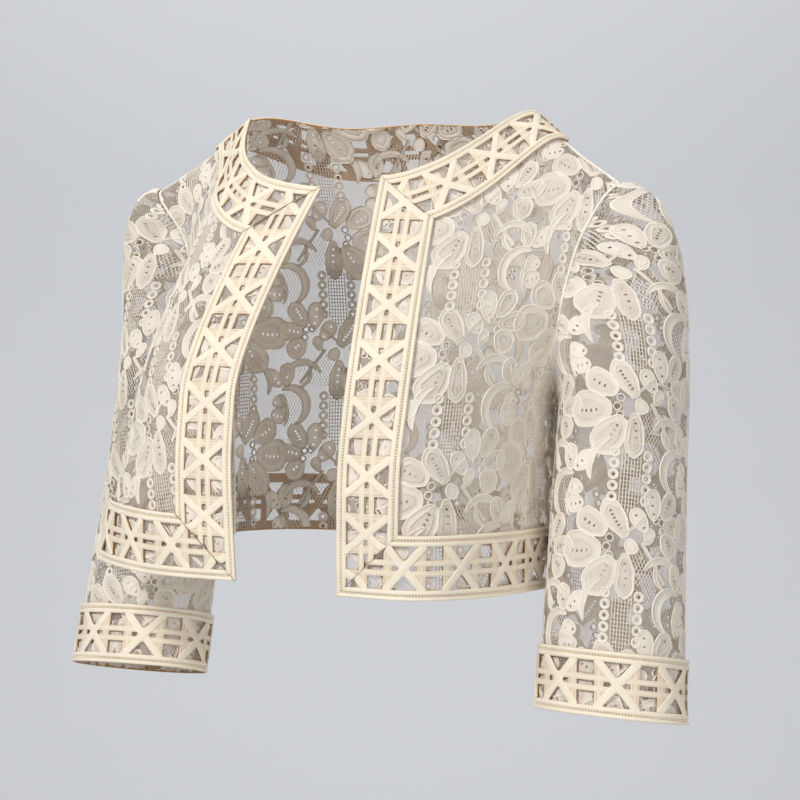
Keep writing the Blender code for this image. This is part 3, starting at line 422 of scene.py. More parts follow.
class BodyHalf:
    """One front, or one half of the back, over flat lengths from its inner edge."""

    def __init__(
        self, levels: Table, inner_x: float, front: bool,
        hem_drops: tuple[float, float], flare: float, corner_t: float,
    ) -> None:
        """Lay the cloth over the levels below and the shoulder line above.

        Args:
            levels: Rows of places round the body, each at its height.
            inner_x: Where the inner edge meets the shoulder line.
            front: Whether this is a front.
            hem_drops: How far the hem hangs down at the inner edge and at the side.
            flare: How far the side leans out above the chest line.
            corner_t: Flat height of the neck corner.
        """
        self.hem_drops = hem_drops
        self.corner_t = corner_t
        self.front = front
        ridge = shoulder_line()
        ridge_arcs = arc_lengths(ridge)
        self.inner_length = float(np.interp(inner_x, ridge[:, 0], ridge_arcs))
        self.neck_s = float(np.interp(NECK_POINT_X, ridge[:, 0], ridge_arcs)) - self.inner_length
        self.shoulder_s = (
            float(np.interp(SHOULDER_POINT_X, ridge[:, 0], ridge_arcs)) - self.inner_length
        )
        way = -1.0 if front else 1.0
        heights = np.linspace(HEM_Z - BELOW_HEM, CHEST_Z, 26)
        sections = []
        self.side_lengths = []
        for height in heights:
            row = table_at(levels, height)
            places = row.reshape(-1, 2)
            points = np.column_stack((places, np.full(len(places), height)))
            curve = smooth_curve(points, start=(1.0, 0.0, 0.0), end=(0.0, -way, 0.0))
            sections.append(curve)
            self.side_lengths.append(arc_lengths(curve)[-1])
        self.heights = heights
        self.side_lengths = np.array(self.side_lengths)
        self.chest_s = self.side_lengths[-1]
        reach = max(self.side_lengths.max(), self.shoulder_s) + PAST_SIDE
        first = -2
        self.s_values = GRID * np.arange(first, int(math.ceil(reach / GRID)) + 3)
        lower = np.stack([at_length(curve, self.s_values) for curve in sections], 1)
        tops = at_length(ridge, self.s_values + self.inner_length)
        q = np.linspace(0.0, 1.0, 70)
        columns = []
        zeros = []
        self.top_t = []
        self.hem_t = []
        for k, s in enumerate(self.s_values):
            share = np.clip((s - self.neck_s) / (self.chest_s - self.neck_s), 0.0, 1.0)
            ease = share * share * (3.0 - 2.0 * share)
            climb = unit(lower[k, -1] - lower[k, -4])
            climb = unit(climb + np.array([flare * ease, 0.0, 0.0]))
            rise = (FRONT_RISE if front else BACK_RISE) * (1.0 - RISE_LOSS * ease)
            lean = (FRONT_LEAN if front else BACK_LEAN) * (1.0 - ease) + SIDE_LEAN * ease
            upper = hermite(
                lower[k, -1], climb * rise, tops[k], np.array([0.0, -way * lean, 0.0]), q
            )
            past = upper[-1] + np.outer(
                np.arange(1, 12) * GRID, np.array([0.0, -way, 0.0])
            )
            column = np.concatenate((lower[k], upper[1:], past))
            arcs = arc_lengths(column)
            zero = arcs[len(heights) - 1]
            columns.append(column)
            zeros.append(zero)
            self.top_t.append(arcs[len(heights) - 1 + len(q) - 1] - zero)
            self.hem_t.append(np.interp(HEM_Z, heights, arcs[:len(heights)]) - zero)
        self.top_t = np.array(self.top_t)
        self.hem_t = np.array(self.hem_t)
        self.cloth = Cloth(columns, GRID, self.s_values[0], BODY_T, zeros,
                           1.0 if front else -1.0)

    def shoulder_t(self, s: Array | float) -> Array:
        """Return the flat height of the shoulder seam."""
        return np.interp(s, self.s_values, self.top_t)

    def lower_t(self, s: Array | float) -> Array:
        """Return the flat height of the hem; a minus length lies on the wearer's right."""
        s = np.asarray(s, float)
        share = s / self.side_s(HEM_Z)
        if self.front:
            near, side = self.hem_drops
            drop = near + (side - near) * share * share
        else:
            left, right = self.hem_drops
            drop = 0.5 * (left + right) + 0.5 * (left - right) * share
        return np.interp(np.abs(s), self.s_values, self.hem_t) - drop

    def side_s(self, height: float) -> float:
        """Return the flat length out to the side seam at a height."""
        return float(np.interp(height, self.heights, self.side_lengths))

    def shoulder_up(self, s: float) -> Array:
        """Return the flat direction square to the shoulder seam."""
        slope = (self.shoulder_t(s + 0.002) - self.shoulder_t(s - 0.002)) / 0.004
        return unit(np.array([-slope, 1.0]))

    def neckline(self, reach: float) -> Array:
        """Draw the flat neckline, square to the inner edge and to the shoulder.

        Args:
            reach: How full the curve is.

        Returns:
            Points from the inner edge to the neck point.
        """
        end = np.array([self.neck_s, self.shoulder_t(self.neck_s)])
        start = np.array([0.0, self.corner_t])
        up = self.shoulder_up(self.neck_s)
        span = np.linalg.norm(end - start)
        return hermite(start, np.array([1.0, 0.0]) * span * reach, end,
                       up * span * reach * NECK_FULLNESS, np.linspace(0.0, 1.0, 60))

    def armhole(self, table: Table) -> Array:
        """Draw the flat armhole.

        Args:
            table: Points inwards from the seam and up from the chest line.

        Returns:
            Points from the side seam to the shoulder point.
        """
        top = np.array([self.shoulder_s, self.shoulder_t(self.shoulder_s)])
        points = []
        for inwards, up in table:
            seam_s = self.chest_s + (self.shoulder_s - self.chest_s) * up / top[1]
            points.append((seam_s - inwards, up))
        points.append(top)
        return smooth_curve(
            points, start=(-1.0, 0.15), end=self.shoulder_up(self.shoulder_s)
        )

    def seam_s(self, t: float) -> float:
        """Return the flat length out to the side seam at a flat height."""
        s = self.chest_s
        for _ in range(5):
            low = float(np.interp(s, self.s_values, self.hem_t))
            height = CHEST_Z + (CHEST_Z - HEM_Z) * t / -low
            s = self.side_s(height)
        return s

    def side_seam(self, right: bool = False) -> Array:
        """Draw the flat side seam.

        Args:
            right: Whether it is the wearer's right one.

        Returns:
            Points from the hem to the armhole.
        """
        sign = -1.0 if right else 1.0
        low = float(self.lower_t(sign * self.chest_s))
        for _ in range(5):
            low = float(self.lower_t(sign * self.seam_s(low)))
        return np.array([(self.seam_s(t), t) for t in np.linspace(low, 0.0, 16)])


def resample(path: Array, step: float) -> Array:
    """Cut a path into even steps.

    Args:
        path: Points of the path.
        step: The longest step.

    Returns:
        The new points.
    """
    arcs = arc_lengths(path)
    count = max(1, int(math.ceil(arcs[-1] / step)))
    return at_length(path, np.linspace(0.0, arcs[-1], count + 1))


def inside(points: Array, polygon: Array) -> Array:
    """Tell which flat points lie inside a closed polygon.

    Args:
        points: Flat points.
        polygon: Its corners.

    Returns:
        True for each point inside.
    """
    points = np.atleast_2d(points)
    found = np.zeros(len(points), bool)
    for a, b in zip(polygon, np.roll(polygon, -1, axis=0)):
        crosses = (a[1] > points[:, 1]) != (b[1] > points[:, 1])
        rise = b[1] - a[1]
        if abs(rise) < 1e-15:
            continue
        reach = (b[0] - a[0]) * (points[:, 1] - a[1]) / rise + a[0]
        found ^= crosses & (points[:, 0] < reach)
    return found


def edge_distance(points: Array, polygon: Array) -> Array:
    """Measure how far flat points are from a polygon's outline.

    Args:
        points: Flat points.
        polygon: Its corners.

    Returns:
        One distance for each point.
    """
    points = np.atleast_2d(points)
    best = np.full(len(points), 1e9)
    for a, b in zip(polygon, np.roll(polygon, -1, axis=0)):
        side = b - a
        share = np.clip(((points - a) @ side) / max(side @ side, 1e-18), 0.0, 1.0)
        best = np.minimum(best, np.linalg.norm(points - a - share[:, None] * side, axis=1))
    return best


def triangulate(
    outline: Array, holes: Sequence[Array], inner_points: Sequence[Array] = (),
) -> tuple[Array, Array]:
    """Fill an outline with flat triangles, round its holes.

    Args:
        outline: Corners of the outline.
        holes: Corners of each hole.
        inner_points: Points to use between them.

    Returns:
        The flat points and the triangles.
    """
    points = []
    edges = []
    for ring in [outline] + list(holes):
        start = len(points)
        points.extend(Vector((float(p[0]) * 1000, float(p[1]) * 1000)) for p in ring)
        edges.extend((start + k, start + (k + 1) % len(ring)) for k in range(len(ring)))
    points.extend(Vector((float(p[0]) * 1000, float(p[1]) * 1000)) for p in inner_points)
    found = delaunay_2d_cdt(points, edges, [], 0, 1e-4)
    flat = np.array([(p.x, p.y) for p in found[0]]) / 1000
    triangles = np.array([list(face) for face in found[2] if len(face) == 3])
    middles = flat[triangles].mean(axis=1)
    keep = inside(middles, np.asarray(outline))
    for hole in holes:
        keep &= ~inside(middles, np.asarray(hole))
    triangles = triangles[keep]
    used = np.unique(triangles)
    index = np.full(len(flat), -1)
    index[used] = np.arange(len(used))
    return flat[used], index[triangles]


def panel_points(outline: Array, step: float) -> Array:
    """Stagger points inside an outline.

    Args:
        outline: Its corners.
        step: Distance between points.

    Returns:
        Points that are clear of the outline.
    """
    low = outline.min(axis=0)
    high = outline.max(axis=0)
    rows = np.arange(low[1] + 0.5 * step, high[1], step * 0.87)
    points = []
    for k, t in enumerate(rows):
        shift = 0.5 * step if k % 2 else 0.0
        points.extend((s, t) for s in np.arange(low[0] + 0.5 * step + shift, high[0], step))
    points = np.array(points)
    keep = inside(points, outline) & (edge_distance(points, outline) > 0.6 * step)
    return points[keep]


class Side:
    """A cloth read on its own side of the body."""

    def __init__(
        self, cloth: "Cloth | Sleeve", flip: bool = False, both: bool = False,
    ) -> None:
        """Keep a cloth and the side that it lies on.

        Args:
            cloth: The surface.
            flip: Whether it lies on the wearer's right.
            both: Whether it spans both sides, with s below zero on the right.
        """
        self.cloth = cloth
        self.flip = flip
        self.both = both

    def at(self, s: Array, t: Array) -> tuple[Array, Array]:
        """Read flat places on the cloth.

        Args:
            s: Flat lengths across.
            t: Flat lengths up.

        Returns:
            The points and their outward normals.
        """
        s = np.asarray(s, float)
        points, normals = self.cloth.at(np.abs(s) if self.both else s, t)
        turned = (s < 0.0) if self.both else np.full(s.shape, self.flip)
        turn = np.ones(points.shape)
        turn[..., 0] = np.where(turned, -1.0, 1.0)
        return points * turn, normals * turn


class Strip:
    """A trim band along flat paths: u runs along its middle and v across from its edge."""

    def __init__(self, legs: Sequence[tuple[Side, Array, Array]]) -> None:
        """Read the lace along the legs of a band.

        Args:
            legs: For each, its side, its flat path and the ways across it.
        """
        points = []
        normals = []
        places = []
        rows = np.linspace(0.0, BAND, 13)
        for side, path, across in legs:
            s = path[:, 0][:, None] + across[:, 0][:, None] * rows
            t = path[:, 1][:, None] + across[:, 1][:, None] * rows
            p, n = side.at(s, t)
            skip = 1 if points else 0
            points.append(p[skip:])
            normals.append(n[skip:])
            places.append(np.stack((s, t), -1)[skip:])
        self.points = np.concatenate(points)
        self.normals = np.concatenate(normals)
        self.places = np.concatenate(places)
        self.rows = rows
        self.u_values = arc_lengths(self.points[:, len(rows) // 2])
        self.length = float(self.u_values[-1])

    def at(self, u: Array, v: Array, lift: Array | float = 0.0) -> tuple[Array, Array]:
        """Read places on the band.

        Args:
            u: Lengths along it.
            v: Lengths across it.
            lift: Heights off the lace.

        Returns:
            The points and their outward normals.
        """
        last = len(self.rows) - 1
        u = np.asarray(u, float)
        v = np.clip(np.asarray(v, float) / BAND * last, 0.0, last)
        j = np.clip(np.floor(v).astype(int), 0, last - 1)
        b = (v - j)[:, None]
        i = np.clip(np.searchsorted(self.u_values, u) - 1, 0, len(self.u_values) - 2)
        a = ((u - self.u_values[i]) / (self.u_values[i + 1] - self.u_values[i]))[:, None]

        def read(grid: Array) -> Array:
            """Blend the four corners of a grid cell."""
            return (
                (1 - a) * (1 - b) * grid[i, j] + a * (1 - b) * grid[i + 1, j]
                + (1 - a) * b * grid[i, j + 1] + a * b * grid[i + 1, j + 1]
            )

        normals = unit(read(self.normals))
        return read(self.points) + lift * normals, normals

    def crossing(self, test: Test, from_start: bool) -> Array:
        """Find where a flat test changes sign along each row.

        Args:
            test: Signed distance at a flat place.
            from_start: Whether the first change counts, or the last.

        Returns:
            A length along the band for each row.
        """
        found = []
        for k in range(len(self.rows)):
            values = np.array([test(s, t) for s, t in self.places[:, k]])
            hits = np.flatnonzero((values[:-1] >= 0) != (values[1:] >= 0))
            if not len(hits):
                found.append(self.u_values[0 if from_start else -1])
                continue
            i = hits[0 if from_start else -1]
            share = values[i] / (values[i] - values[i + 1])
            found.append(self.u_values[i] + share * (self.u_values[i + 1] - self.u_values[i]))
        return np.array(found)


class Sleeve:
    """The left sleeve: flat s runs round the arm from its outer side to the front."""

    def __init__(
        self, arm: Table, front_armhole: Array, back_armhole: Array,
    ) -> None:
        """Draw the sleeve down from its armhole.

        Args:
            arm: Rows of the arm's middle line and half widths.
            front_armhole: Points from the shoulder point to the side seam.
            back_armhole: The same on the back.
        """
        self.arm = np.asarray(arm, float)
        ring = self.arm_ring(0)
        turn = arc_lengths(np.vstack((ring, ring[:1])))
        self.round = float(turn[-1])
        self.columns = 80
        self.step = self.round / self.columns
        s_values = self.step * np.arange(self.columns)
        half = 0.5 * self.round
        levels = len(self.arm)
        rings = []
        for k in range(levels):
            loop = self.arm_ring(k)
            arcs = arc_lengths(np.vstack((loop, loop[:1])))
            share = self.by_half(loop, arcs, s_values / self.round)
            rings.append(share)
        columns = []
        zeros = []
        self.cap_t = []
        q = np.linspace(0.0, 1.0, 50)
        front_arcs = arc_lengths(front_armhole)[-1]
        back_arcs = arc_lengths(back_armhole)[-1]
        for i, s in enumerate(s_values):
            if s <= half:
                start = at_length(front_armhole, s / half * front_arcs)[0]
            else:
                start = at_length(back_armhole, (self.round - s) / half * back_arcs)[0]
            start = start + np.array([ARMHOLE_STEP, 0.0, 0.0])
            lower = np.stack([ring[i] for ring in rings])
            limb = smooth_curve(lower[::-1])
            height = 0.5 * (1.0 + math.cos(2.0 * math.pi * s / self.round))
            fall = np.linalg.norm(start - lower[0])
            out = unit(np.array([0.30 + 0.70 * height, 0.0, -1.0 + 0.85 * height]))
            down = unit(limb[-2] - limb[-1])
            cap = hermite(start, out * fall * (0.55 + 0.45 * height), lower[0],
                          down * fall * (0.9 + 0.25 * height), q)
            column = np.concatenate((limb, cap[::-1][1:]))
            arcs = arc_lengths(column)
            columns.append(column)
            zeros.append(arcs[len(limb) - 1])
            self.cap_t.append(arcs[-1] - arcs[len(limb) - 1])
        self.cap_t = np.array(self.cap_t)
        self.down_t = -np.array(zeros)
        self.cloth = Cloth(columns, self.step, 0.0, SLEEVE_T, zeros, -1.0, closed=True)
        self.s_values = s_values

    def arm_ring(self, k: int) -> Array:
        """Draw a dense ring round the arm, from its outer side to the front.

        Args:
            k: Row of the arm table.

        Returns:
            Points of the ring.
        """
        height, x, y, half_width, half_depth, drop = self.arm[k]
        low = self.arm[min(k + 1, len(self.arm) - 1)]
        high = self.arm[max(k - 1, 0)]
        axis = unit(np.array([low[1] - high[1], low[2] - high[2], low[0] - high[0]]))
        front = unit(np.cross(axis, np.array([1.0, 0.0, 0.0])))
        front = front if front[1] < 0 else -front
        across = unit(np.array([1.0, 0.0, -0.5 * drop / half_width]))
        angles = np.linspace(0.0, 2.0 * math.pi, 240, endpoint=False)
        return (
            np.array([x, y, height])
            + np.outer(np.cos(angles) * half_width, across)
            + np.outer(np.sin(angles) * half_depth, front)
        )

    @staticmethod
    def by_half(loop: Array, arcs: Array, shares: Array) -> Array:
        """Share out each half of a ring evenly.

        Args:
            loop: Points of the ring.
            arcs: Lengths along it.
            shares: Shares of the way round.

        Returns:
            One point for each share.
        """
        closed = np.vstack((loop, loop[:1]))
        middle = arcs[len(loop) // 2]
        beyond = middle + (shares - 0.5) * 2.0 * (arcs[-1] - middle)
        return at_length(closed, np.where(shares <= 0.5, shares * 2.0 * middle, beyond))

    def top_t(self, s: Array | float) -> Array:
        """Return the flat height of the armhole seam."""
        return np.interp(np.mod(s, self.round), self.s_values, self.cap_t, period=self.round)

    def cuff_t(self, s: Array | float) -> Array:
        """Return the flat height of the cuff's lower edge."""
        return np.interp(np.mod(s, self.round), self.s_values, self.down_t, period=self.round)

    def gather(self, s: Array, t: Array) -> Array:
        """Return how far the gathers at the sleeve head lift the cloth."""
        from_top = np.mod(s + 0.5 * self.round, self.round) - 0.5 * self.round
        across = np.clip(1.0 - (from_top / GATHER_REACH) ** 2, 0.0, 1.0)
        below = np.clip((self.top_t(s) - t) / GATHER_LENGTH, 0.0, 1.0)
        power, onset, least = GATHER_FADE
        fade = (1.0 - below) ** power * np.clip(below * onset, least, 1.0)
        wave = np.cos(GATHERS * math.pi * from_top / GATHER_REACH)
        return GATHER_DEPTH * across * fade * (wave + GATHER_LIFT)

    def at(self, s: Array, t: Array) -> tuple[Array, Array]:
        """Read flat places on the cloth.

        Args:
            s: Flat lengths across.
            t: Flat lengths up.

        Returns:
            The points and their outward normals.
        """
        points, normals = self.cloth.at(s, t)
        return points + self.gather(s, t)[..., None] * normals, normals


def across_right(path: Array) -> Array:
    """Return flat ways across a path, to the right of its run."""
    run = unit(np.gradient(path, axis=0))
    return np.column_stack((run[:, 1], -run[:, 0]))


def upper_outline(
    half: BodyHalf, neck: Array, table: Table,
) -> Array:
    """Draw the upper outline of a half: its neck, shoulder and armhole.

    Args:
        half: The front or half back.
        neck: Its flat neckline.
        table: Its armhole.

    Returns:
        Corners from the inner edge to the side seam.
    """
    shoulder = np.linspace(half.neck_s, half.shoulder_s, 8)
    shoulder = np.column_stack((shoulder, half.shoulder_t(shoulder) - HALF_SEAM))
    armhole = resample(half.armhole(table), ARMHOLE_CORNERS)[::-1]
    armhole[-1, 0] -= HALF_SEAM
    neck = before_seam_end(resample(neck, NECK_CORNERS))
    return np.concatenate((neck, shoulder[1:], armhole))


def front_outline(half: BodyHalf, neck: Array) -> Array:
    """Draw a front from the neck corner by the shoulder, side and hem.

    Args:
        half: The front.
        neck: Its flat neckline.

    Returns:
        Corners of the flat outline.
    """
    side = half.side_seam()[::-1] - np.array([HALF_SEAM, 0.0])
    hem = np.linspace(side[-1, 0], 0.0, 16)
    hem = np.column_stack((hem, half.lower_t(hem)))
    edge = np.array([(0.0, float(half.lower_t(0.0))), (0.0, half.corner_t)])
    return merge_close((
        upper_outline(half, neck, ARMHOLE_FRONT), resample(side, FRONT_CORNERS)[1:],
        resample(hem, FRONT_CORNERS)[1:], resample(edge, EDGE_CORNERS)[1:],
    ))


def back_outline(half: BodyHalf, neck: Array) -> Array:
    """Draw the whole back.

    Args:
        half: Its left half.
        neck: The flat neckline of that half.

    Returns:
        Corners of the flat outline.
    """
    upper = upper_outline(half, neck, ARMHOLE_BACK)
    turn = np.array([-1.0, 1.0])
    left = half.side_seam()[::-1] - np.array([HALF_SEAM, 0.0])
    right = (half.side_seam(True)[::-1] - np.array([HALF_SEAM, 0.0])) * turn
    hem = np.linspace(left[-1, 0], right[-1, 0], 28)
    hem = np.column_stack((hem, half.lower_t(hem)))
    return merge_close((
        upper, resample(left, EDGE_CORNERS)[1:], resample(hem, EDGE_CORNERS)[1:],
        resample(right, EDGE_CORNERS)[::-1][1:], (upper * turn)[::-1][:-1],
    ))


def before_seam_end(path: Array) -> Array:
    """Stop a flat path half a seam short of its end.

    Args:
        path: Points of the path.

    Returns:
        The shorter path.
    """
    arcs = arc_lengths(path)
    return np.concatenate((path[arcs < arcs[-1] - 0.002], at_length(path, arcs[-1] - HALF_SEAM)))


def merge_close(pieces: Sequence[Array]) -> Array:
    """Join pieces of an outline, without points that nearly meet.

    Args:
        pieces: The pieces, in order round it.

    Returns:
        Corners of the outline.
    """
    kept = []
    for p in np.concatenate(pieces):
        if all(math.dist(p, q) > CLOSE_CORNERS for q in kept):
            kept.append(tuple(p))
    return np.array(kept)


NO_TRIS = np.zeros((0, 3), int)
NO_QUADS = np.zeros((0, 4), int)


class Edge(Enum):
    """Edge of a braid along which a border lies."""

    NEAR = "near"
    FAR = "far"


def handedness(surface: Side | Strip, a: float, b: float) -> float:
    """Tell whether flat places read the right way round from outside.

    Args:
        surface: Where the flat places are mapped to.
        a: A flat place across.
        b: The same place's other length.

    Returns:
        1.0 if they do and -1.0 if they are mirrored.
    """
    step = 1e-4
    places = np.array([(a, b), (a + step, b), (a, b + step)])
    points, normals = surface.at(places[:, 0], places[:, 1])
    out = np.cross(points[1] - points[0], points[2] - points[0]) @ normals[0]
    return 1.0 if out > 0.0 else -1.0


@dataclass
class Flat:
    """A flat mesh in cutting lengths: two flat columns and a height off the cloth."""

    points: Array = field(default_factory=lambda: np.zeros((0, 3)))
    tris: Array = field(default_factory=lambda: NO_TRIS)
    quads: Array = field(default_factory=lambda: NO_QUADS)

    @staticmethod
    def joined(parts: Sequence["Flat"]) -> "Flat":
        """Join flat meshes.

        Args:
            parts: The meshes.

        Returns:
            One mesh with all their faces.
        """
        starts = np.cumsum([0] + [len(part.points) for part in parts])
        return Flat(
            np.concatenate([part.points for part in parts]),
            np.concatenate([part.tris + start for part, start in zip(parts, starts)]),
            np.concatenate([part.quads + start for part, start in zip(parts, starts)]),
        )

    def placed(self, x: float, y: float, turn: float = 0.0, scale: float = 1.0) -> "Flat":
        """Turn, scale and move the mesh in its plane.

        Args:
            x: Distance moved across.
            y: Distance moved up.
            turn: Degrees turned anticlockwise.
            scale: Size factor in the plane.

        Returns:
            The placed mesh.
        """
        c = math.cos(math.radians(turn)) * scale
        s = math.sin(math.radians(turn)) * scale
        points = self.points.copy()
        points[:, 0] = c * self.points[:, 0] - s * self.points[:, 1] + x
        points[:, 1] = s * self.points[:, 0] + c * self.points[:, 1] + y
        return Flat(points, self.tris, self.quads)

    def kept(self, test: Callable[[Array], Array]) -> "Flat":
        """Keep the faces whose middles pass a test.

        Args:
            test: Takes flat points and tells which are kept.

        Returns:
            The mesh with those faces and the points that they use.
        """
        tris = self.tris[test(self.points[self.tris].mean(axis=1)[:, :2])]
        quads = self.quads[test(self.points[self.quads].mean(axis=1)[:, :2])]
        return Flat(self.points, tris, quads).compact()

    def compact(self) -> "Flat":
        """Drop the points that no face uses."""
        used = np.unique(np.concatenate((self.tris.ravel(), self.quads.ravel())))
        index = np.full(len(self.points), -1)
        index[used] = np.arange(len(used))
        return Flat(self.points[used], index[self.tris], index[self.quads])


def loft(rows: Sequence[Array], closed: bool) -> Flat:
    """Join rows of points by quads, with the first row outermost.

    Args:
        rows: Rows of the same number of points.
        closed: Whether each row is a ring.

    Returns:
        The flat mesh.
    """
    rows = [np.asarray(row, float) for row in rows]
    n = len(rows[0])
    quads = []
    for i in range(len(rows) - 1):
        for k in range(n if closed else n - 1):
            m = (k + 1) % n
            quads.append((i * n + k, i * n + m, (i + 1) * n + m, (i + 1) * n + k))
    return Flat(np.concatenate(rows), NO_TRIS, np.array(quads))


def ribbon(path: Array, widths: Array | float, profile: Table) -> Flat:
    """Sweep a profile along a flat path.

    Args:
        path: Flat points of the middle line.
        widths: Width at each point.
        profile: Pairs of place across, from -1 to 1, and height in metres.

    Returns:
        The ribbon, with its top facing up.
    """
    path = np.asarray(path, float)
    run = unit(np.gradient(path, axis=0))
    left = np.column_stack((-run[:, 1], run[:, 0]))
    half = 0.5 * np.broadcast_to(np.asarray(widths, float), (len(path),))
    rows = []
    for across, height in profile:
        place = path + (across * half)[:, None] * left
        rows.append(np.column_stack((place, np.full(len(path), height))))
    return loft(rows[::-1], False)


def arc_path(x: float, y: float, radius: float, start: float, stop: float, steps: int) -> Array:
    """Draw a flat arc.

    Args:
        x: Middle across.
        y: Middle up.
        radius: Its radius.
        start: First angle in degrees.
        stop: Last angle in degrees.
        steps: Number of steps.

    Returns:
        Flat points along it.
    """
    angles = np.radians(np.linspace(start, stop, steps + 1))
    return np.column_stack((x + radius * np.cos(angles), y + radius * np.sin(angles)))


